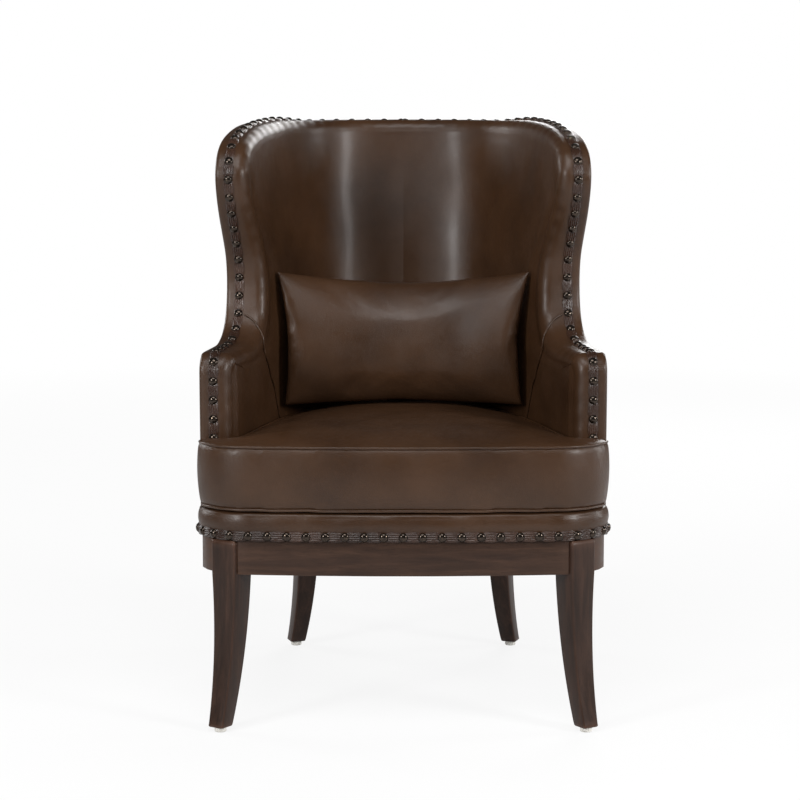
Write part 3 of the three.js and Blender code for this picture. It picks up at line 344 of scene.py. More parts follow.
class Shader:
    """A principled material with its nodes wired from object coordinates."""

    def __init__(self, name, metallic=0.0, coat=0.0, coat_roughness=0.2, sheen=0.0, shine=0.5):
        self.material = bpy.data.materials.new(name)
        self.material.use_nodes = True
        self.tree = self.material.node_tree
        self.tree.nodes.clear()
        self.out = self.add("ShaderNodeOutputMaterial")
        self.main = self.add("ShaderNodeBsdfPrincipled")
        self.link(self.main, "BSDF", self.out, "Surface")
        self.main.inputs["Metallic"].default_value = metallic
        self.main.inputs["Specular IOR Level"].default_value = shine
        self.main.inputs["Coat Weight"].default_value = coat
        self.main.inputs["Coat Roughness"].default_value = coat_roughness
        self.main.inputs["Sheen Weight"].default_value = sheen
        self.coordinates = self.add("ShaderNodeTexCoord")
        self.height = None

    def add(self, kind, **settings):
        node = self.tree.nodes.new(kind)
        for key, value in settings.items():
            setattr(node, key, value)
        return node

    def link(self, a, output, b, socket):
        self.tree.links.new(a.outputs[output], b.inputs[socket])

    def place(self, scale):
        mapping = self.add("ShaderNodeMapping")
        mapping.inputs["Scale"].default_value = scale
        self.link(self.coordinates, "Object", mapping, "Vector")
        return mapping

    def noise(self, scale, detail=4, roughness=0.55, stretch=(1, 1, 1), distortion=0.0):
        node = self.add("ShaderNodeTexNoise")
        node.inputs["Scale"].default_value = scale
        node.inputs["Detail"].default_value = detail
        node.inputs["Roughness"].default_value = roughness
        node.inputs["Distortion"].default_value = distortion
        self.link(self.place(stretch), "Vector", node, "Vector")
        return node

    def ramp(self, node, output, stops):
        ramp = self.add("ShaderNodeValToRGB")
        while len(ramp.color_ramp.elements) < len(stops):
            ramp.color_ramp.elements.new(0.5)
        for element, (at, colour) in zip(ramp.color_ramp.elements, stops):
            element.position = at
            element.color = (*colour, 1)
        self.link(node, output, ramp, "Fac")
        return ramp

    def mix(self, a, b, factor, blend="MIX"):
        node = self.add("ShaderNodeMix", data_type="RGBA", blend_type=blend)
        for source, socket in ((a, 6), (b, 7)):
            if isinstance(source, tuple):
                node.inputs[socket].default_value = (*source, 1)
            else:
                self.tree.links.new(source, node.inputs[socket])
        if isinstance(factor, float):
            node.inputs[0].default_value = factor
        else:
            self.tree.links.new(factor, node.inputs[0])
        return node.outputs[2]

    def spread(self, node, output, low, high, start=0.0, end=1.0):
        span = self.add("ShaderNodeMapRange")
        for key, value in (("From Min", start), ("From Max", end), ("To Min", low), ("To Max", high)):
            span.inputs[key].default_value = value
        self.link(node, output, span, "Value")
        return span.outputs[0]

    def bump(self, node, output, distance, strength=1.0):
        bump_node = self.add("ShaderNodeBump")
        bump_node.inputs["Distance"].default_value = distance
        bump_node.inputs["Strength"].default_value = strength
        self.link(node, output, bump_node, "Height")
        if self.height:
            self.link(self.height, "Normal", bump_node, "Normal")
        self.height = bump_node

    def edges(self, low=0.52, high=0.62):
        """White on sharp outer edges, black elsewhere."""
        geometry = self.add("ShaderNodeNewGeometry")
        return self.spread(geometry, "Pointiness", 0, 1, low, high)

    def done(self, colour, roughness):
        self.tree.links.new(colour, self.main.inputs["Base Color"])
        if isinstance(roughness, float):
            self.main.inputs["Roughness"].default_value = roughness
        else:
            self.tree.links.new(roughness, self.main.inputs["Roughness"])
        if self.height:
            self.link(self.height, "Normal", self.main, "Normal")
        return self.material


def srgb(r, g, b):
    """A colour of a picture, 0 to 255, as the linear values that a material takes."""
    return tuple(((c / 255 + 0.055) / 1.055) ** 2.4 if c > 10 else c / 255 / 12.92 for c in (r, g, b))


def leather_material(name, dark, mid, light, roughness, coat):
    """Clouded and mottled leather with pores, a fine grain and shallow waves."""
    s = Shader(name, coat=coat, coat_roughness=0.24, shine=0.26)
    clouds = s.noise(7, detail=5)
    colour = s.ramp(clouds, "Fac", [(0.25, dark), (0.5, mid), (0.78, light)]).outputs[0]
    mottle = s.noise(55, detail=6, roughness=0.7)
    colour = s.mix(colour, dark, s.spread(mottle, "Fac", 0, 0.3, 0.5, 0.8))
    colour = s.mix(colour, light, s.spread(s.noise(140, detail=3), "Fac", 0, 0.3, 0.55, 0.8))
    cells = s.add("ShaderNodeTexVoronoi", feature="DISTANCE_TO_EDGE")
    cells.inputs["Scale"].default_value = 620
    s.link(s.place((1, 1, 1)), "Vector", cells, "Vector")
    pores = s.ramp(cells, "Distance", [(0.0, (0, 0, 0)), (0.22, (1, 1, 1))])
    s.bump(pores, "Color", 0.00016, 0.5)
    s.bump(s.noise(260, detail=4, roughness=0.6), "Fac", 0.0004, 0.3)
    s.bump(s.noise(38, detail=2, distortion=0.3, stretch=(1, 1, 0.5)), "Fac", 0.0022, 0.13)
    patches = s.noise(22, detail=4)
    return s.done(colour, s.spread(patches, "Fac", roughness - 0.07, roughness + 0.09, 0.3, 0.7))


def wood_material(name, dark, mid, light, grain, roughness=0.4, coat=0.08):
    """Figured wood, paler on worn edges; grain is how much finer the figure is along X, Y and Z."""
    s = Shader(name, coat=coat, coat_roughness=0.2, shine=0.2)
    figure = s.noise(9, detail=9, roughness=0.62, stretch=grain, distortion=0.6)
    colour = s.ramp(figure, "Fac", [(0.32, dark), (0.52, mid), (0.7, light)]).outputs[0]
    pores = s.noise(60, detail=3, roughness=0.5, stretch=grain)
    colour = s.mix(colour, dark, s.spread(pores, "Fac", 0, 0.6, 0.56, 0.68))
    colour = s.mix(colour, tuple(min(1, c * 2.3) for c in light), s.edges())
    s.bump(pores, "Fac", 0.0003, 0.25)
    return s.done(colour, s.spread(figure, "Fac", roughness - 0.06, roughness + 0.1, 0.3, 0.7))


def nail_material():
    """Dark bronze, polished where it has been rubbed."""
    s = Shader("antique_bronze", metallic=0.85)
    patina = s.noise(420, detail=4)
    stops = [(0.35, srgb(44, 38, 34)), (0.6, srgb(66, 57, 50)), (0.8, srgb(112, 96, 78))]
    colour = s.ramp(patina, "Fac", stops).outputs[0]
    s.bump(s.noise(900, detail=2), "Fac", 0.0001, 0.3)
    return s.done(colour, s.spread(patina, "Fac", 0.08, 0.17, 0.3, 0.7))


# What a cloth's thread number is divided by for the scale of its wave textures
THREADS_TO_SCALE = 6.283


def cloth_material(name, dark, light, threads=900, sheen=0.2):
    """Plain woven cloth, finer with a higher thread number."""
    s = Shader(name, sheen=sheen)
    weave = s.add("ShaderNodeTexWave", wave_type="BANDS", bands_direction="X")
    weft = s.add("ShaderNodeTexWave", wave_type="BANDS", bands_direction="Y")
    for wave in (weave, weft):
        wave.inputs["Scale"].default_value = threads / THREADS_TO_SCALE
        wave.inputs["Distortion"].default_value = 0.6
        s.link(s.place((1, 1, 1)), "Vector", wave, "Vector")
    fuzz = s.noise(130, detail=5)
    colour = s.ramp(fuzz, "Fac", [(0.3, dark), (0.7, light)]).outputs[0]
    both = s.mix(weave.outputs[0], weft.outputs[0], 0.5)
    colour = s.mix(colour, both, 0.35, "MULTIPLY")
    s.bump(weave, "Fac", 0.0003, 0.4)
    s.bump(weft, "Fac", 0.0003, 0.4)
    return s.done(colour, 0.88)


def metal_material(name, dark, light, roughness=0.34):
    """Drawn metal with fine streaks."""
    s = Shader(name, metallic=1.0)
    streaks = s.noise(40, detail=5, stretch=(1, 12, 12))
    colour = s.ramp(streaks, "Fac", [(0.3, dark), (0.7, light)]).outputs[0]
    s.bump(streaks, "Fac", 0.0002, 0.2)
    return s.done(colour, s.spread(streaks, "Fac", roughness - 0.08, roughness + 0.1, 0.3, 0.7))


def plastic_material(name, dark, light):
    """Matte moulded plastic with a faint speckle."""
    s = Shader(name)
    speckle = s.noise(300, detail=4)
    colour = s.ramp(speckle, "Fac", [(0.3, dark), (0.7, light)]).outputs[0]
    s.bump(speckle, "Fac", 0.0002, 0.2)
    return s.done(colour, 0.5)


LEATHER = leather_material(
    "brown_leather", srgb(44, 27, 15), srgb(57, 37, 22), srgb(68, 46, 30), 0.35, 0.13
)
TRIM_LEATHER = leather_material(
    "trim_leather", srgb(30, 18, 12), srgb(50, 32, 23), srgb(76, 54, 42), 0.26, 0.25
)
WOOD_UP = wood_material(
    "stained_wood_upright", srgb(27, 16, 10), srgb(43, 27, 19), srgb(57, 38, 28), (9, 9, 0.9)
)
WOOD_ACROSS = wood_material(
    "stained_wood_level", srgb(29, 17, 11), srgb(47, 31, 22), srgb(61, 42, 31), (0.9, 2.5, 9)
)
RAW_WOOD = wood_material(
    "raw_wood", srgb(150, 112, 70), srgb(182, 144, 97), srgb(204, 170, 124), (6, 6, 1), 0.7, 0.0
)
BRONZE = nail_material()
BLACK_CLOTH = cloth_material("black_cloth", srgb(18, 17, 16), srgb(38, 36, 34))
DECK_CLOTH = cloth_material("decking_cloth", srgb(44, 32, 25), srgb(70, 54, 44), 700)
CREAM_FOAM = cloth_material("cream_foam", srgb(205, 196, 170), srgb(236, 229, 207), 400, 0.0)
STEEL = metal_material("spring_steel", srgb(92, 94, 96), srgb(150, 152, 154))
NYLON = plastic_material("pale_nylon", srgb(206, 203, 196), srgb(232, 230, 224))

NODE_LOOKS = {
    "brown_leather": LEATHER, "trim_leather": TRIM_LEATHER, "stained_wood": WOOD_UP,
    "raw_wood": RAW_WOOD, "foam": CREAM_FOAM, "steel": STEEL, "dark_cloth": BLACK_CLOTH,
    "pale_nylon": NYLON, "fibre_fill": CREAM_FOAM,
}


def dress_frame_nodes():
    """Every frame node gets a worked material by its slot."""
    slots = {entry["node"]: entry["material_slot"] for entry in frame["record"]["subparts"]}
    for name, node in frame["nodes"].items():
        look = NODE_LOOKS[slots[name]]
        if not node.data.materials:
            node.data.materials.append(look)
        for holder in node.material_slots:
            holder.material = look


# Padded shell

ROLL_TURNS = np.radians(np.linspace(0, 90, 12))


def mirror_points(points):
    return points * np.array([-1.0, 1, 1])


def mirror_plan(points):
    return points * np.array([-1.0, 1])


def both_sides(right):
    """Points and faces of a grid on the right and its mirror image on the left."""
    rows, columns = right.shape[:2]
    points = np.concatenate([right.reshape(-1, 3), mirror_points(right).reshape(-1, 3)])
    left = grid_faces(rows, columns, flip=True) + rows * columns
    return points, np.vstack([grid_faces(rows, columns), left])


def seam_front(z):
    """Depth of the seam between arm and back padding, at a height."""
    return np.interp(z, [353, 500, 522, 551, 603, 622, 700], [40, 1, -12, -31, -50, -66, -66])


def sink_at(line):
    """How far the trim strip lies below the padding beside it: only along the top of the back."""
    near_middle = smooth((0.42 - line[:, 0] / PLAN_LENGTH) / 0.16)
    return STRIP_SINK * near_middle * smooth((line[:, 1] - 940) / 30)


def inner_grid(bottom, step=5):
    """The inside of the shell, from under the trim strip, over the roll, to the middle."""
    line, inwards, length = rim_line(bottom, step)
    ends = middle_line(line, bottom)
    run = np.linspace(0, length, len(line))
    scallop = np.cos(2 * math.pi * (run - run[-1] % NAIL_PITCH / 2) / NAIL_PITCH)
    thick = padding_at(line[:, 0] / PLAN_LENGTH, line[:, 1])
    columns = []
    sink = sink_at(line)
    for depth in (STRIP_START + STRIP_WIDTH / 2, STRIP_START + STRIP_WIDTH - 1):
        columns.append(placed(rim_places(line, inwards, sink), depth))
    for turn in ROLL_TURNS:
        radius = RIM_INNER_RADIUS + 0.7 * scallop * math.sin(turn) * math.cos(turn)
        inset = RIM_INNER_RADIUS - radius * math.cos(turn) + sink * max(0, 1 - turn / 0.5) ** 2
        depth = thick - RIM_INNER_RADIUS + radius * math.sin(turn)
        columns.append(placed(rim_places(line, inwards, inset), depth))
    start = rim_places(line, inwards, RIM_INNER_RADIUS)
    shares = np.linspace(0, 1, 52)[1:] ** 1.25
    for share in shares:
        place = lerp(start, ends, share)
        away = np.linalg.norm(place - start, axis=1)
        wing = smooth((line[:, 1] - 610) / 60) * smooth((945 - line[:, 1]) / 110)
        valley = (6 * bump(away - 26, 17) - 2.5 * bump(away - 70, 26)) * wing
        depth = padding_at(np.clip(place[:, 0] / PLAN_LENGTH, 0, 1), place[:, 1]) - valley
        columns.append(placed(place, depth))
    grid = np.stack(columns, 1)
    grid[-1, :, 0] = 0
    grid[:, -1, 0] = 0
    first = len(ROLL_TURNS) + 6
    for _ in range(14):
        near = grid[2:, first:-1] + grid[:-2, first:-1]
        near = near + grid[1:-1, first - 1:-2] + grid[1:-1, first + 1:]
        grid[1:-1, first:-1] = lerp(grid[1:-1, first:-1], near / 4, 0.6)
        grid[1:-1, -1, 1:] = lerp(grid[1:-1, -1, 1:], grid[1:-1, -2, 1:], 0.6)
    return grid


def outer_grid(bottom, step=6):
    """The outside of the shell, from the middle of the back to under the trim strip."""
    line, inwards, _ = rim_line(bottom, step)
    ends = middle_line(line, bottom)
    sink = sink_at(line)
    start = rim_places(line, inwards, RIM_OUTER_RADIUS + sink)
    columns = [placed(lerp(start, ends, share), np.zeros(len(line))) for share in np.linspace(1, 0, 46)]
    for turn in np.radians(np.linspace(15, 90, 6)):
        inset = RIM_OUTER_RADIUS * (1 - math.sin(turn))
        depth = RIM_OUTER_RADIUS * (1 - math.cos(turn))
        columns.append(placed(rim_places(line, inwards, inset + sink), depth))
    for depth in (9, 12, STRIP_START, STRIP_START + STRIP_WIDTH / 2):
        columns.append(placed(rim_places(line, inwards, sink), depth))
    grid = np.stack(columns, 1)
    grid[-1, :, 0] = 0
    grid[:, 0, 0] = 0
    return grid


def square_to(grid):
    """Directions square to the surface of a grid of points."""
    normal = np.cross(np.gradient(grid, axis=1), np.gradient(grid, axis=0))
    return normal / np.maximum(np.linalg.norm(normal, axis=-1, keepdims=True), 1e-6)


def lumps(grid, height, scale, seed):
    """Slight unevenness of leather over padding, which fades out at the chair's middle."""
    fade = np.minimum(1, np.abs(grid[..., :1]) / 30)
    return grid + square_to(grid) * (ripple(grid, scale, seed) * height)[..., None] * fade


def inside_sheet():
    """The right half of the inside leather, with its lumps."""
    return lumps(inner_grid(INSIDE_BOTTOM), 0.9, 130, 3)


def finish_sheet(obj, towards_middle):
    """Welds the mirrored halves and faces the sheet towards the sitter, or away."""
    bm = bmesh.new()
    bm.from_mesh(obj.data)
    bmesh.ops.remove_doubles(bm, verts=bm.verts, dist=0.05 * MM)
    bmesh.ops.dissolve_degenerate(bm, edges=bm.edges, dist=0.02 * MM)
    bmesh.ops.recalc_face_normals(bm, faces=bm.faces)
    centre = Vector((0, (BARREL_MIDDLE_Y + TO_ROW_Y) * MM, 0))
    total = 0.0
    for face in bm.faces:
        to_middle = centre - face.calc_center_median()
        to_middle.z = 0
        total += face.normal.dot(to_middle) * face.calc_area()
    if (total > 0) != towards_middle:
        bmesh.ops.reverse_faces(bm, faces=bm.faces)
    bm.to_mesh(obj.data)
    bm.free()
    return obj


def cut_sheet(points, faces, towards_middle, cuts):
    """Leather pieces cut from one sheet: each cut is a name, its faces and the nodes it dresses."""
    for name, chosen, nodes in cuts:
        used, index = np.unique(faces[chosen], return_inverse=True)
        piece = make_object(name, points[used], index.reshape(-1, 4), LEATHER)
        carries(finish_sheet(piece, towards_middle), "chair", "brown_leather", *nodes)


def make_shell():
    """The leathers inside and outside the arms and the back."""
    points, faces = both_sides(inside_sheet())
    x, y, z = points[faces].mean(axis=1).T
    arm = (y < seam_front(z)) & (z < ARM_SEAM_TOP)
    cut_sheet(points, faces, True, [
        ("inside_back_leather", ~arm, ["inside_back_cover", "back_foam"]),
        ("inside_left_arm_leather", arm & (x < 0), ["left_inside_arm_cover", "left_arm_foam"]),
        ("inside_right_arm_leather", arm & (x > 0), ["right_inside_arm_cover", "right_arm_foam"]),
    ])
    points, faces = both_sides(lumps(outer_grid(COVER_BOTTOM), 0.35, 160, 5))
    x, y, z = points[faces].mean(axis=1).T
    back = y > OUTSIDE_SEAM_Y
    cut_sheet(points, faces, False, [
        ("outside_back_leather", back, ["outside_back_cover"]),
        ("outside_left_leather", ~back & (x < 0), ["left_outside_cover"]),
        ("outside_right_leather", ~back & (x > 0), ["right_outside_cover"]),
    ])


# Welts on the shell

# Rows and columns of the right inside sheet that the arm's seam passes, from the seat upwards
SEAM_ON_SHEET = [
    (26, 36.8), (45, 34), (56, 32), (72, 25.5), (84, 16), (87, 11), (90, 4.5), (92, 2.5), (94, 1.2),
]


def seam_path():
    """Points just proud of the right inside sheet, along the arm's seam."""
    grid = inside_sheet()
    at = spline(SEAM_ON_SHEET, 90)
    (row, column), rest = at.astype(int).T, at - at.astype(int)
    points = []
    for sheet in (grid, square_to(grid)):
        near, far = (
            lerp(sheet[row + k, column], sheet[row + k, column + 1], rest[:, 1:]) for k in (0, 1)
        )
        points.append(lerp(near, far, rest[:, :1]))
    place, out = points
    out *= np.where(out @ np.array([-1, -0.6, 0.1]) < 0, -1, 1)[:, None]
    path = place + out * 1.3
    for _ in range(6):
        path[1:-1] = (path[:-2] + 2 * path[1:-1] + path[2:]) / 4
    return path


def make_shell_seams():
    """The welt between each arm's cover and the back's, and the closing seams outside."""
    z = np.linspace(COVER_BOTTOM + 18, BACK_TOP - 9, 90)
    closing = shell_point(share_at(np.full_like(z, OUTSIDE_SEAM_Y), z), z, -0.4)
    welts = [
        ("arm_seam_welts", seam_path(), 1.8, LEATHER),
        ("outside_seam_welts", closing, 1.9, TRIM_LEATHER),
    ]
    for name, path, radius, material in welts:
        seam = joined_tubes(name, (path, mirror_points(path)), radius, 8, material)
        carries(seam, "chair", "brown_leather")


# Nail-head trim

RIBS = 5


def strip_grid(inner_edge, outer_edge, outward, run, first_nail):
    """A pleated strip between two edge lines: lengthwise ribs, pinched in under each nail."""
    near = (run - first_nail + NAIL_PITCH / 2) % NAIL_PITCH - NAIL_PITCH / 2
    near = np.where(run < first_nail - NAIL_PITCH / 2, 99, near)
    pinch = bump(near, 6.5)
    columns = []
    for t in np.linspace(0, 1, 31):
        off = t - 0.5
        at = 0.5 + off * (1 - 0.24 * pinch)
        height = 0.9 + 2.1 * np.sqrt(max(0, 1 - abs(2 * off) ** 3))
        height = height + 0.62 * math.cos(2 * math.pi * RIBS * t) * (1 - 0.6 * pinch) - 1.5 * pinch
        height = height + 0.35 * np.sin(run / 3.3 + 11 * t) * np.sin(run / 17 + 3 * t) * (1 - pinch)
        if t in (0, 1):
            height = 0 * height - 0.6
        point = inner_edge + (outer_edge - inner_edge) * at[:, None]
        columns.append(point + outward * height[:, None])
    return np.stack(columns, 1)


def nail_places(line, outward, run, first_nail, lift):
    """Places of the nails along a strip's middle, and their outward sides."""
    places, ways = [], []
    at = first_nail
    while at <= run[-1] - 3:
        places.append([np.interp(at, run, line[:, k]) for k in range(3)])
        ways.append([np.interp(at, run, outward[:, k]) for k in range(3)])
        at += NAIL_PITCH
    ways = unit(np.array(ways))
    return np.array(places) + ways * lift, ways


def nail_tree():
    """Instances of a domed head on points, each turned to its own outward side."""
    tree = bpy.data.node_groups.new("nail_heads_on_points", "GeometryNodeTree")
    face = tree.interface
    face.new_socket("Points", in_out="INPUT", socket_type="NodeSocketGeometry")
    for name, value in (("Head radius", NAIL_RADIUS * MM), ("Dome share", 0.66), ("Tilt", 0.05)):
        face.new_socket(name, in_out="INPUT", socket_type="NodeSocketFloat").default_value = value
    face.new_socket("Seed", in_out="INPUT", socket_type="NodeSocketInt").default_value = 7
    face.new_socket("Finish", in_out="INPUT", socket_type="NodeSocketMaterial")
    face.new_socket("Heads", in_out="OUTPUT", socket_type="NodeSocketGeometry")
    add = tree.nodes.new
    given, result = add("NodeGroupInput"), add("NodeGroupOutput")
    ball = add("GeometryNodeMeshUVSphere")
    ball.inputs["Segments"].default_value = 20
    ball.inputs["Rings"].default_value = 12
    flatten, squash = add("GeometryNodeTransform"), add("ShaderNodeCombineXYZ")
    squash.inputs[0].default_value = squash.inputs[1].default_value = 1
    soft = add("GeometryNodeSetShadeSmooth")
    way = add("GeometryNodeInputNamedAttribute")
    way.data_type = "FLOAT_VECTOR"
    way.inputs["Name"].default_value = "outward"
    aim = add("FunctionNodeAlignRotationToVector")
    aim.axis = "Z"
    wobble = add("FunctionNodeRandomValue")
    wobble.data_type = "FLOAT_VECTOR"
    less, shake = add("ShaderNodeMath"), add("ShaderNodeVectorMath")
    less.operation = "MULTIPLY"
    less.inputs[1].default_value = -1
    shake.operation = "ADD"
    spread = add("GeometryNodeInstanceOnPoints")
    real, paint = add("GeometryNodeRealizeInstances"), add("GeometryNodeSetMaterial")
    links = [
        (given, "Head radius", ball, "Radius"), (given, "Dome share", squash, "Z"),
        (ball, "Mesh", flatten, "Geometry"), (squash, "Vector", flatten, "Scale"),
        (flatten, "Geometry", soft, "Geometry"), (soft, "Geometry", spread, "Instance"),
        (given, "Points", spread, "Points"), (given, "Tilt", less, 0),
        (less, 0, wobble, "Min"), (given, "Tilt", wobble, "Max"), (given, "Seed", wobble, "Seed"),
        (way, "Attribute", shake, 0), (wobble, 0, shake, 1), (shake, 0, aim, "Vector"),
        (aim, "Rotation", spread, "Rotation"), (spread, "Instances", real, "Geometry"),
        (real, "Geometry", paint, "Geometry"), (given, "Finish", paint, "Material"),
        (paint, "Geometry", result, "Heads"),
    ]
    for a, out, b, socket in links:
        tree.links.new(a.outputs[out], b.inputs[socket])
    return tree


def set_nails(name, places, ways, body):
    """One plain mesh of nail heads at the given places."""
    points = make_object(name, places, [], BRONZE)
    attribute = points.data.attributes.new("outward", "FLOAT_VECTOR", "POINT")
    attribute.data.foreach_set("vector", np.asarray(ways, float).ravel())
    modifier = points.modifiers.new("nail_heads", "NODES")
    modifier.node_group = nail_tree()
    for item in modifier.node_group.interface.items_tree:
        if item.name == "Finish":
            modifier[item.identifier] = BRONZE
    applied(points)
    return carries(points, body, "trim_leather")


def outline_strip(places, z_low):
    """Edge lines and outward side of a level strip, from plan points that run along the chair."""
    along = unit(np.gradient(places, axis=0))
    outward = np.stack([-along[:, 1], along[:, 0], 0 * along[:, 0]], 1)
    low = np.column_stack([places, np.full(len(places), float(z_low))])
    high = low + np.array([0, 0, STRIP_WIDTH])
    return low, high, outward


def front_outline(step=3, start=0.03):
    """Plan points of the front outline, from the right arm front to the left one, facing out."""
    corner = [(ARM_HALF_WIDTH, -ARM_FRONT_REACH)]
    _, along = plan_at(np.array([1.0]), np.array([float(COVER_BOTTOM)]))
    corner.append(tuple(np.array(corner[0]) + along[0] * CORNER_HANDLE))
    corner += [(CORNER_X + CORNER_HANDLE, -CORNER_REACH), (CORNER_X, -CORNER_REACH)]
    bow = [
        (CORNER_X, -CORNER_REACH),
        (CORNER_X - BOW_HANDLE, -CORNER_REACH - (FRONT_REACH - CORNER_REACH) * 0.6),
        (BOW_HANDLE, -FRONT_REACH), (0, -FRONT_REACH),
    ]
    parts = []
    for points, first in ((corner, start), (bow, 0)):
        shares, t, length = even_shares(points)
        at = np.linspace(first, 1, max(3, int(length * (1 - first) / step)))
        parts.append(bezier(points, np.interp(at, shares, t))[0 if not parts else 1:])
    half = np.vstack(parts)
    return np.vstack([half, mirror_plan(half)[-2::-1]])


def make_trim():
    """Pleated strips round the rim and the base, and all their nails."""
    nails, ways = [], []

    def lay(name, low, high, outward, node, mirror):
        run = run_along(low)
        first = max(run[-1] % NAIL_PITCH / 2, NAIL_RADIUS)
        grid = strip_grid(low, high, outward, run, first)
        at, way = nail_places((low + high) / 2, outward, run, first, 1.4)
        if mirror:
            grid, at, way = mirror_points(grid), mirror_points(at), mirror_points(way)
        piece = make_object(name, grid, grid_faces(*grid.shape[:2]), TRIM_LEATHER)
        face_along(piece, outward if not mirror else mirror_points(outward), grid)
        carries(piece, "chair", "trim_leather", node)
        nails.append(at)
        ways.append(way)

    rim, inwards, _ = rim_line(RIM_STRIP_BOTTOM, 2)
    line = rim_places(rim, inwards, sink_at(rim))
    low, high = placed(line, STRIP_START), placed(line, STRIP_START + STRIP_WIDTH)
    middle = STRIP_START + STRIP_WIDTH / 2
    outward = unit(placed(rim_places(line, inwards, -1.0), middle) - placed(line, middle))
    lay("right_rim_strip", low, high, outward, "right_rim_nail_trim", False)
    lay("left_rim_strip", low, high, outward, "left_rim_nail_trim", True)

    places = front_outline(2)
    low, high, outward = outline_strip(places, COVER_BOTTOM - GAP)
    outward = -outward if outward[len(outward) // 2, 1] > 0 else outward
    lay("front_base_strip", low, high, outward, "front_base_nail_trim", False)

    share = np.linspace(1, 0, 420)
    low = shell_point(share, COVER_BOTTOM - GAP, 0)
    high = shell_point(share, COVER_BOTTOM - GAP + STRIP_WIDTH, 0)
    middle = COVER_BOTTOM + STRIP_WIDTH / 2
    outward = shell_point(share, middle, -1) - shell_point(share, middle, 0)
    lay("right_base_strip", low, high, outward, "right_base_nail_trim", False)
    lay("left_base_strip", low, high, outward, "left_base_nail_trim", True)
    set_nails("nail_heads", np.vstack(nails), np.vstack(ways), "chair")


def face_along(obj, outward, grid):
    """Turns a strip's faces to its outward side."""
    rows = len(outward) // 2
    mesh = obj.data
    count = grid.shape[1] - 1
    polygon = mesh.polygons[rows * count + count // 2]
    if polygon.normal.dot(Vector(outward[rows])) < 0:
        mesh.flip_normals()


# Seat front band


def band_path(places, depth, z):
    """Points at a distance in from the outline and a height."""
    along = unit(np.gradient(places, axis=0))
    inwards = np.stack([along[:, 1], -along[:, 0]], 1)
    if inwards[len(places) // 2, 1] < 0:
        inwards = -inwards
    plan = places + inwards * np.asarray(depth)[..., None]
    return np.column_stack([plan, np.broadcast_to(z, len(places))])


def make_band():
    """The leather band over the front edge, softly filled, with a slightly wavy face."""
    places = front_outline(4)
    run = run_along(places)
    low, high = COVER_BOTTOM + 4, DECK_TOP - GAP
    edge_depth, edge_height = 9, 7
    columns = [band_path(places, 1.0, low)]
    for t in np.linspace(0, 1, 18):
        z = lerp(low, high - edge_height, t)
        wave = 0.7 * np.sin(run / 23.0 + 1.3 * t) + 0.5 * np.sin(run / 9.7 + 2.1)
        swell = 2.6 * math.sin(math.pi * min(1, (t - 0.3) / 0.7)) ** 0.7 if t > 0.3 else 0
        columns.append(band_path(places, -swell - wave * 0.5 * smooth((t - 0.35) / 0.3), z))
    for turn in np.radians(np.linspace(15, 90, 6)):
        z = high - edge_height + edge_height * math.sin(turn)
        columns.append(band_path(places, edge_depth * (1 - math.cos(turn)), z))
    for depth in (24, 45):
        columns.append(band_path(places, depth, high))
    grid = lumps(np.stack(columns, 1), 0.5, 60, 9)
    piece = make_object("seat_front_band", grid, grid_faces(*grid.shape[:2]), LEATHER)
    face_outwards(piece, Vector((0, 0, 0.3)))
    carries(piece, "chair", "brown_leather", "border_cover", "front_edge_roll")


def face_outwards(obj, centre):
    """Turns an open sheet's faces away from a point."""
    total = sum((p.center - centre).dot(p.normal) * p.area for p in obj.data.polygons)
    if total < 0:
        obj.data.flip_normals()


# Wood frame

# A leg's place at the rail, its turn outwards in degrees, its width at the top and at the foot,
# and how far the foot stands out
FRONT_LEG, REAR_LEG = (285, -310, 34, 48, 30, 34), (181, 238, 19, 42, 29, 72)


def leg_ring(front, side, drop, edge=3.2):
    """One level section of a leg: a square with rounded corners, further out the lower it is."""
    x, y, turn, top, foot, out = FRONT_LEG if front else REAR_LEG
    away = math.radians(turn)
    direction = np.array([side * math.sin(away), (-1 if front else 1) * math.cos(away)])
    centre = np.array([side * x, y]) + direction * out * max(0, drop) ** 2.2
    half = lerp(top, foot, max(0, drop)) / 2
    square = []
    for k, corner in enumerate(([1, 1], [-1, 1], [-1, -1], [1, -1])):
        for a in np.radians(np.array([0, 30, 60, 90]) + 90 * k):
            square.append(np.array(corner) * (half - edge) + edge * np.array([math.cos(a), math.sin(a)]))
    angle = side * (away if front else -away)
    spin = np.array([[math.cos(angle), -math.sin(angle)], [math.sin(angle), math.cos(angle)]])
    flat = np.array(square) @ spin.T + centre
    z = lerp(RAIL_BOTTOM, GLIDE_HEIGHT, drop) if drop >= 0 else RAIL_BOTTOM - drop
    return np.column_stack([flat, np.full(len(flat), z)])


def make_legs():
    """Four sabre legs, each a stack of rings with a small bevel at the foot."""
    above = -np.linspace(COVER_BOTTOM - RAIL_BOTTOM - 0.6, 0, 8)
    drops = [*above, *np.linspace(0, 1, 46)[1:]]
    for name in ("front_right_leg", "front_left_leg", "rear_right_leg", "rear_left_leg"):
        front, side = name.startswith("front"), 1 if "right" in name else -1
        rings = [leg_ring(front, side, d) for d in drops]
        foot = rings[-1].copy()
        foot[:, :2] = foot[:, :2].mean(axis=0) + (foot[:, :2] - foot[:, :2].mean(axis=0)) * 0.93
        rings[-1] = rings[-1] + np.array([0, 0, 1.6])
        grid = np.array([*rings, foot])
        rows, columns = grid.shape[:2]
        faces = grid_faces(rows, columns, closed=True).tolist()
        faces.append(list(range(columns)))
        faces.append([(rows - 1) * columns + k for k in range(columns)][::-1])
        piece = make_object(name + "_blade", grid, faces, WOOD_UP)
        tidy(piece)
        for polygon in piece.data.polygons:
            polygon.use_smooth = len(polygon.vertices) == 4
        carries(piece, "chair", "stained_wood", name)


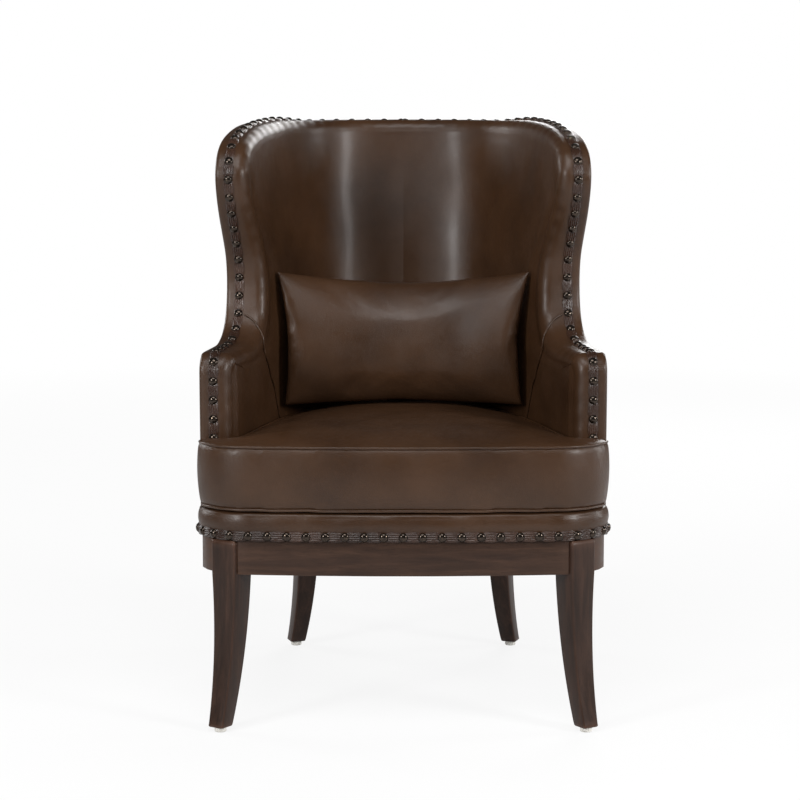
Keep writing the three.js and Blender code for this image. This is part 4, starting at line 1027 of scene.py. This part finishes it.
def make_rails():
    """The frame's rails with eased edges."""
    for name in ("front_apron", "left_seat_rail", "right_seat_rail", "rear_seat_rail"):
        piece = eased_copy(name, name + "_wood", 1.4, WOOD_ACROSS)
        carries(piece, "chair", "stained_wood", name)


def merged_copy(node, name, material):
    """A copy of a frame node's mesh with its loose triangles joined."""
    source = frame["nodes"][node]
    mesh = source.data.copy()
    mesh.name = name
    mesh.transform(source.matrix_world)
    mesh.materials.clear()
    mesh.materials.append(material)
    return tidy(linked(name, mesh), 0.05)


def eased_copy(node, name, radius, material):
    """A copy of a frame node's mesh with its sharp edges rounded over."""
    piece = merged_copy(node, name, material)
    mesh = piece.data
    bm = bmesh.new()
    bm.from_mesh(mesh)
    bmesh.ops.dissolve_limit(bm, angle_limit=math.radians(1.5), verts=bm.verts, edges=bm.edges)
    sharp = [e for e in bm.edges if len(e.link_faces) == 2 and e.calc_face_angle(0) > math.radians(38)]
    bmesh.ops.bevel(
        bm, geom=sharp, offset=radius * MM, segments=3, profile=0.5, affect="EDGES", clamp_overlap=True
    )
    for face in bm.faces:
        face.smooth = True
    bm.to_mesh(mesh)
    bm.free()
    mesh.set_sharp_from_angle(angle=math.radians(35))
    return piece


# Radius and height round the outside of a glide, from the floor up
GLIDE_PROFILE = [(0, 0), (7.4, 0), (9, 0.5), (9.8, 1.4), (10, 2.6), (10, 8.2), (9.6, 8.6), (0, 8.7)]


def make_glides():
    """Nylon discs, each in the middle of its frame node."""
    turns = np.linspace(0, 2 * math.pi, 36, endpoint=False)
    for name in ("front_left_glide", "front_right_glide", "rear_left_glide", "rear_right_glide"):
        node = frame["nodes"][name]
        ends = [node.matrix_world @ Vector(node.bound_box[k]) for k in (0, 6)]
        x, y = (c / MM / 2 for c in (ends[0] + ends[1])[:2])
        grid = np.array([
            [(x + r * math.cos(a), y - TO_ROW_Y + r * math.sin(a), z) for a in turns]
            for r, z in GLIDE_PROFILE
        ])
        piece = make_object(name + "_disc", grid, grid_faces(*grid.shape[:2], closed=True), NYLON)
        tidy(piece)
        piece.data.set_sharp_from_angle(angle=math.radians(40))
        carries(piece, "chair", "pale_nylon", name)


# Loose cushions

CUSHION_PROUD, CUSHION_CLEARANCE, CUSHION_CROWN, WELT_RADIUS = 3, 5, 20, 2.4
CUSHION_BOTTOM = DECK_TOP + GAP
NOTCH_Y, EAR_RADIUS, NOTCH_RADIUS = -263.6, 9, 7


def cushion_half_outline(inset=0.0):
    """Half the seat cushion's plan, from the middle of the front round to the middle of the back."""
    notch = NOTCH_Y - inset
    places = front_outline(3, 0.15)
    half = places[: len(places) // 2 + 1][::-1]
    step = unit(np.gradient(half, axis=0))
    outward = np.stack([step[:, 1], -step[:, 0]], 1)
    if outward[0, 1] > 0:
        outward = -outward
    half = half + outward * (CUSHION_PROUD - inset)
    half[0, 0] = 0
    half = half[half[:, 1] < notch - EAR_RADIUS]
    x, y = half[-1, 0] - EAR_RADIUS, notch - EAR_RADIUS
    ear = [
        (x + EAR_RADIUS * math.cos(a), y + EAR_RADIUS * math.sin(a))
        for a in np.radians(np.linspace(0, 90, 7))
    ]
    shares, level = np.linspace(1, 0, 90), np.full(90, float(DECK_TOP))
    depth = padding_at(shares, level) + CUSHION_CLEARANCE + inset
    body = shell_point(shares, level, depth)[:, :2]
    body = body[body[:, 1] > notch + NOTCH_RADIUS]
    x, y = body[0, 0] + NOTCH_RADIUS, notch + NOTCH_RADIUS
    turn = [
        (x - NOTCH_RADIUS * math.sin(a), y - NOTCH_RADIUS * math.cos(a))
        for a in np.radians(np.linspace(0, 90, 5))
    ]
    body[-1, 0] = 0
    return np.vstack([half, ear, turn, body])


def closed_from_half(half):
    """A closed plan line from its right half, which starts and ends on the middle."""
    return np.vstack([half, mirror_plan(half)[-2:0:-1]])


def even_loop(points, step):
    """Even points round a closed plan line."""
    loop = np.vstack([points, points[:1]])
    run = run_along(loop)
    at = np.linspace(0, run[-1], int(run[-1] / step), endpoint=False)
    return np.stack([np.interp(at, run, loop[:, k]) for k in range(loop.shape[1])], 1)


def nearest_on(loop, points):
    """Distance from plan points to a closed plan line, and the way there."""
    least = np.full(len(points), 1e9)
    way = np.zeros_like(points)
    for a, b in zip(loop, np.roll(loop, -1, 0)):
        span = b - a
        t = np.clip(((points - a) @ span) / max(span @ span, 1e-9), 0, 1)
        there = a + t[:, None] * span - points
        far = np.linalg.norm(there, axis=1)
        closer = far < least
        least[closer], way[closer] = far[closer], there[closer]
    return least, way / np.maximum(least, 1e-6)[:, None]


def filled_prism(name, loop, low, high):
    """A closed flat-topped block over a plan line."""
    mesh = bpy.data.meshes.new(name)
    bm = bmesh.new()
    ring = [bm.verts.new((x * MM, (y + TO_ROW_Y) * MM, low * MM)) for x, y in loop]
    floor = bm.faces.new(ring)
    raised = bmesh.ops.extrude_face_region(bm, geom=[floor])
    for vertex in (g for g in raised["geom"] if isinstance(g, bmesh.types.BMVert)):
        vertex.co.z = high * MM
    bmesh.ops.recalc_face_normals(bm, faces=bm.faces)
    bmesh.ops.triangulate(bm, faces=bm.faces)
    bm.to_mesh(mesh)
    bm.free()
    return linked(name, mesh)


def remeshed(obj, voxel):
    """The piece rebuilt from even cells of a size in millimetres."""
    modifier = obj.modifiers.new("even_mesh", "REMESH")
    modifier.mode, modifier.voxel_size = "VOXEL", voxel * MM
    modifier.use_smooth_shade = True
    return applied(obj)


def points_of(obj):
    """A mesh's points in millimetres, in the plan's own frame."""
    flat = np.empty(len(obj.data.vertices) * 3)
    obj.data.vertices.foreach_get("co", flat)
    points = flat.reshape(-1, 3) / MM
    points[:, 1] -= TO_ROW_Y
    return points


def set_points(obj, points):
    """Moves a mesh's points to places in millimetres."""
    moved = points.copy()
    moved[:, 1] += TO_ROW_Y
    obj.data.vertices.foreach_set("co", (moved * MM).ravel())
    obj.data.update()


def blown_up(obj, pinned, pressure, cap, frames=20, stiff=18):
    """Runs the cloth simulation on a piece and keeps each point within reach of its start."""
    start = points_of(obj)
    group = obj.vertex_groups.new(name="held")
    for index, weight in enumerate(pinned):
        if weight > 0:
            group.add([index], float(weight), "REPLACE")
    modifier = obj.modifiers.new("cloth", "CLOTH")
    cloth = modifier.settings
    cloth.quality = 6
    cloth.mass = 0.4
    cloth.tension_stiffness = cloth.compression_stiffness = stiff
    cloth.shear_stiffness = 8
    cloth.bending_stiffness = 1.2
    cloth.vertex_group_mass = "held"
    cloth.pin_stiffness = 4
    cloth.use_pressure = True
    cloth.uniform_pressure_force = pressure
    cloth.effector_weights.gravity = 0
    modifier.collision_settings.use_collision = False
    modifier.point_cache.frame_start, modifier.point_cache.frame_end = 1, frames
    scene = bpy.context.scene
    for number in range(1, frames + 1):
        scene.frame_set(number)
    applied(obj)
    obj.vertex_groups.clear()
    scene.frame_set(1)
    move = points_of(obj) - start
    far = np.linalg.norm(move, axis=1, keepdims=True)
    set_points(obj, start + move * np.minimum(1, cap / np.maximum(far, 1e-6)))
    return obj


def subdivided(obj, material):
    """The piece subdivided once, in one material."""
    modifier = obj.modifiers.new("finer", "SUBSURF")
    modifier.levels = modifier.render_levels = 1
    applied(obj)
    obj.data.materials.clear()
    obj.data.materials.append(material)


def laid_on(obj, path, rise):
    """A closed path moved on to a piece's surface, its middle a little proud of it."""
    mesh = obj.data
    tree = BVHTree.FromPolygons(
        [v.co[:] for v in mesh.vertices], [p.vertices[:] for p in mesh.polygons]
    )
    shift = np.array([0, TO_ROW_Y, 0])
    out = []
    for point in (path + shift) * MM:
        place, normal, _, _ = tree.find_nearest(Vector(point))
        out.append(place + normal * rise * MM)
    out = np.array(out) / MM - shift
    for _ in range(4):
        out = (np.roll(out, 1, 0) + 2 * out + np.roll(out, -1, 0)) / 4
    return out


def make_seat_cushion():
    """A T-shaped block with a crowned top, blown up as cloth, and its two welts."""
    outline = even_loop(closed_from_half(cushion_half_outline(-4.0)), 4)
    inner = even_loop(closed_from_half(cushion_half_outline(1.5)), 4)
    low, high = CUSHION_BOTTOM + 1.0, CUSHION_BOTTOM + CUSHION_HEIGHT - 1.0
    piece = remeshed(filled_prism("seat_cushion_leather", inner, low, high), 6.5)
    points = points_of(piece)
    away, way = nearest_on(outline, points[:, :2])
    away = np.maximum(0, away - 4)
    upper = points[:, 2] > high - 4
    crown = CUSHION_CROWN * np.sin(np.pi / 2 * np.clip(away / 150, 0, 1)) ** 0.85
    crown = crown + 1.3 * ripple(points, 170, 21) * smooth(away / 90)
    front = bump(np.hypot(points[:, 0] / 1.5, points[:, 1] + 190), 110)
    points[:, 2] += np.where(upper, crown + 1.2 * front, 0)
    share = np.clip((points[:, 2] - low) / (high - low), 0, 1)
    side = (away < 6) & (share > 0.03) & (share < 0.97)
    step = 4.6 * np.sin(np.pi * share) ** 0.7 * side
    step = step - 3.0 * (1 - share) ** 1.5 * (away < 30) * bump(away, 14)
    points[:, :2] += way * step[:, None]
    set_points(piece, points)
    near = np.minimum(np.abs(points[:, 2] - low), np.abs(points[:, 2] - high))
    held = (away < 6.5) & (near < 7)
    flat_bottom = points[:, 2] < low + 2
    blown_up(piece, np.where(held | flat_bottom, 1.0, 0.0), pressure=3.5, cap=7)
    points = points_of(piece)
    points[:, 2] = np.maximum(points[:, 2], CUSHION_BOTTOM + 0.2)
    run = np.arctan2(points[:, 1] - 40, points[:, 0])
    pucker = 0.55 * np.sin(run * 61) * bump(away - 9, 7) * np.where(flat_bottom, 0, 1)
    points[:, 2] += pucker * (away > 5) * upper
    set_points(piece, points)
    subdivided(piece, LEATHER)
    nodes = ("seat_cushion_cover", "seat_cushion_core", "seat_cushion_bottom_panel")
    carries(piece, "seat_cushion", "brown_leather", *nodes)
    paths = []
    for z, inset in ((high + 0.4, 0.6), (low + 1.6, 3.6)):
        loop = even_loop(closed_from_half(cushion_half_outline(inset)), 5)
        wave = 0.25 * np.sin(np.arange(len(loop)) * 0.9) + 0.2 * np.sin(np.arange(len(loop)) * 0.37)
        paths.append(laid_on(piece, np.column_stack([loop, z + wave]), 1.9))
    welts = joined_tubes("seat_cushion_welts", paths, WELT_RADIUS, 10, LEATHER, closed=True)
    carries(welts, "seat_cushion", "brown_leather")


# Half the size of the flat sheets, and the sizes of the finished pillow
PILLOW_COLUMNS, PILLOW_ROWS, PILLOW_FLAT = 96, 54, (236, 130)
PILLOW_TOP_WIDTH, PILLOW_FOOT_WIDTH, PILLOW_HEIGHT, PILLOW_FOOT_Z = 446, 422, 240, 500.6


def pillow_grids():
    """The two sheets of the pillow before it is filled: slightly domed, and a little apart at their
    edges, where make_pillow_body joins them.
    """
    across, up = np.meshgrid(np.linspace(-1, 1, PILLOW_COLUMNS), np.linspace(-1, 1, PILLOW_ROWS))
    full = np.sqrt(np.maximum(0, (1 - across**2) * (1 - up**2)))
    layers = []
    for side in (-1, 1):
        y = side * (1 + 26 * full)
        layers.append(np.stack([across * PILLOW_FLAT[0], y, up * PILLOW_FLAT[1]], -1))
    return layers


def make_pillow_body():
    """The pillow's two sheets in one closed mesh, with its faces outwards."""
    front, back = pillow_grids()
    rows, columns = front.shape[:2]
    edge = np.zeros((rows, columns), bool)
    edge[0], edge[-1], edge[:, 0], edge[:, -1] = True, True, True, True
    front[edge, 1] = 0
    back[edge, 1] = 0
    points = np.concatenate([front.reshape(-1, 3), back.reshape(-1, 3)])
    back_faces = grid_faces(rows, columns, flip=True) + rows * columns
    faces = np.vstack([grid_faces(rows, columns), back_faces])
    piece = make_object("lumbar_pillow_leather", points, faces, LEATHER)
    bm = bmesh.new()
    bm.from_mesh(piece.data)
    bmesh.ops.remove_doubles(bm, verts=bm.verts, dist=0.01 * MM)
    bmesh.ops.recalc_face_normals(bm, faces=bm.faces)
    if bm.calc_volume(signed=True) < 0:
        bmesh.ops.reverse_faces(bm, faces=bm.faces)
    bm.to_mesh(piece.data)
    bm.free()
    return piece


def pillow_place(across, up, thick):
    """A point of the finished pillow: shares across and up, and of the way to its fullest."""
    rise = (np.clip(up, -1, 1) + 1) / 2
    half = lerp(PILLOW_FOOT_WIDTH, PILLOW_TOP_WIDTH, rise) / 2 - 9 * (1 - up**2)
    bow = 1 - np.clip(np.abs(across), 0, 1) ** 2
    y = 2 + (lerp(40, 79, rise) - 2) * bow + thick * np.where(thick < 0, 55, 80)
    z = PILLOW_FOOT_Z + (PILLOW_HEIGHT - 22 * bow) * rise
    return np.column_stack([across * half, y, z])


def make_pillow():
    """Two flat sheets sewn together and blown up, then set against the back; the filling keeps
    the outline fuller than the air alone would."""
    piece = make_pillow_body()
    start = points_of(piece)
    across, up = start[:, 0] / PILLOW_FLAT[0], start[:, 2] / PILLOW_FLAT[1]
    full = np.maximum(0, (1 - across**2) * (1 - up**2)) ** 0.46 * (1 - 0.1 * up)
    filled = pillow_place(across, up, np.sign(start[:, 1]) * full)
    blown_up(piece, np.zeros(len(start)), pressure=5.0, cap=160, frames=26, stiff=25)
    points = points_of(piece)
    points -= (points.max(axis=0) + points.min(axis=0)) / 2
    unit = points / points.max(axis=0)
    loose = pillow_place(unit[:, 0], unit[:, 2], unit[:, 1])
    points = lerp(filled, loose, np.array([0.34, 0.34, 0.1]))
    x, _, z = points.T
    dent = 5 * bump(x + 88, 20) * bump(z - 530, 24) + 3 * bump(x - 95, 30) * bump(z - 640, 40)
    points[:, 1] += dent * (start[:, 1] < 0) * full
    set_points(piece, points)
    subdivided(piece, LEATHER)
    nodes = ("lumbar_pillow_front", "lumbar_pillow_back", "lumbar_pillow_fill")
    carries(piece, "lumbar_pillow", "brown_leather", *nodes)


def make_boards():
    """Copies of the boards under the rim, drawn in a little to lie under the smooth leather,
    and lowered where the trim strip is sunk along the top."""
    for node in ("left_side_panel", "right_side_panel", "top_rail"):
        piece = merged_copy(node, node + "_board", RAW_WOOD)
        normals = np.array([v.normal for v in piece.data.vertices])
        points = points_of(piece) - normals * BOARD_INSET
        share = share_at(points[:, 1], points[:, 2])
        sunk = smooth((0.46 - share) / 0.16) * smooth((points[:, 2] - 925) / 40)
        points[:, 2] -= BOARD_DROP * sunk
        set_points(piece, points)
        carries(piece, "chair", "raw_wood", node)


def make_deck():
    """The pad under the seat cushion, in its own cloth."""
    piece = eased_copy("deck_pad", "deck_pad_cloth", 3.0, DECK_CLOTH)
    carries(piece, "chair", "dark_cloth", "deck_pad")


# Camera, light and floor


def make_floor():
    """A wide pale floor that is seen nearly white but still shows the chair's shadow."""
    mesh = bpy.data.meshes.new("floor")
    corners = [(x * 40.0, y * 40.0, 0) for x, y in ((-1, -1), (1, -1), (1, 1), (-1, 1))]
    mesh.from_pydata(corners, [], [(0, 1, 2, 3)])
    s = Shader("studio_floor")
    s.main.inputs["Specular IOR Level"].default_value = 0.1
    speckle = s.noise(3, detail=2)
    colour = s.ramp(speckle, "Fac", [(0.3, (0.78, 0.78, 0.78)), (0.7, (0.8, 0.8, 0.8))]).outputs[0]
    material = s.done(colour, 0.9)
    path, glow = s.add("ShaderNodeLightPath"), s.add("ShaderNodeEmission")
    mix = s.add("ShaderNodeMixShader")
    glow.inputs["Strength"].default_value = 1
    far = s.add("ShaderNodeVectorMath", operation="LENGTH")
    s.link(s.coordinates, "Object", far, 0)
    glow_share = s.spread(far, "Value", 0.84, 1.0, 0.8, 5.0)
    share = s.add("ShaderNodeMath", operation="MULTIPLY")
    s.link(path, "Is Camera Ray", share, 0)
    s.tree.links.new(glow_share, share.inputs[1])
    s.link(share, 0, mix, 0)
    s.link(s.main, "BSDF", mix, 1)
    s.link(glow, "Emission", mix, 2)
    s.link(mix, "Shader", s.out, "Surface")
    mesh.materials.append(material)
    return linked("floor", mesh)


def softbox(name, place, aim_z, width, height, watts):
    """A rectangular light that points at a height over the middle of the floor, in metres."""
    light = bpy.data.lights.new(name, "AREA")
    light.shape, light.size, light.size_y, light.energy = "RECTANGLE", width, height, watts
    obj = linked(name, light)
    obj.location = place
    obj.rotation_euler = (Vector((0, 0, aim_z)) - Vector(place)).to_track_quat("-Z", "Y").to_euler()
    return obj


def make_world():
    """White where the camera sees it, and a faint light on the chair."""
    world = bpy.data.worlds.new("studio")
    world.use_nodes = True
    tree = world.node_tree
    tree.nodes.clear()
    add = tree.nodes.new
    out, seen, lit, mix = (
        add("ShaderNodeOutputWorld"), add("ShaderNodeBackground"), add("ShaderNodeBackground"),
        add("ShaderNodeMixShader"),
    )
    path = add("ShaderNodeLightPath")
    for background, strength in ((seen, 1), (lit, 0.07)):
        background.inputs["Color"].default_value = (1, 1, 1, 1)
        background.inputs["Strength"].default_value = strength
    tree.links.new(path.outputs["Is Camera Ray"], mix.inputs[0])
    tree.links.new(lit.outputs[0], mix.inputs[1])
    tree.links.new(seen.outputs[0], mix.inputs[2])
    tree.links.new(mix.outputs[0], out.inputs[0])
    bpy.context.scene.world = world


# How many degrees the camera looks down
CAMERA_TILT = 7.44


def make_studio():
    """Floor, softboxes, world and the camera that the photograph was taken from."""
    make_floor()
    boxes = [
        softbox("left_softbox", (-2.2, -2.5, 1.5), 0.7, 0.65, 1.0, 60),
        softbox("right_softbox", (2.6, -2.1, 1.6), 0.7, 0.75, 1.0, 70),
        softbox("side_softbox", (3.4, 0.6, 1.2), 0.5, 0.8, 1.6, 40),
        softbox("rear_softbox", (1.2, 3.6, 2.0), 0.6, 2.2, 1.6, 75),
        softbox("rear_left_softbox", (-3.1, 1.6, 1.6), 0.6, 1.2, 1.4, 40),
        softbox("top_softbox", (-0.3, -1.9, 3.2), 0.5, 2.2, 1.4, 62),
    ]
    make_world()
    data = bpy.data.cameras.new("camera")
    data.lens, data.sensor_width, data.shift_x, data.clip_end = 115.65, 36, -0.0041, 50
    camera = linked("camera", data)
    camera.location = (0, -4.49585, 1.1)
    camera.rotation_euler = (math.radians(90 - CAMERA_TILT), 0, 0)
    bpy.context.scene.camera = camera
    bpy.context.scene.view_settings.view_transform = "Standard"


dress_frame_nodes()
make_shell()
make_shell_seams()
make_trim()
make_band()
make_legs()
make_rails()
make_glides()
make_boards()
make_deck()
make_seat_cushion()
make_pillow()
make_studio()
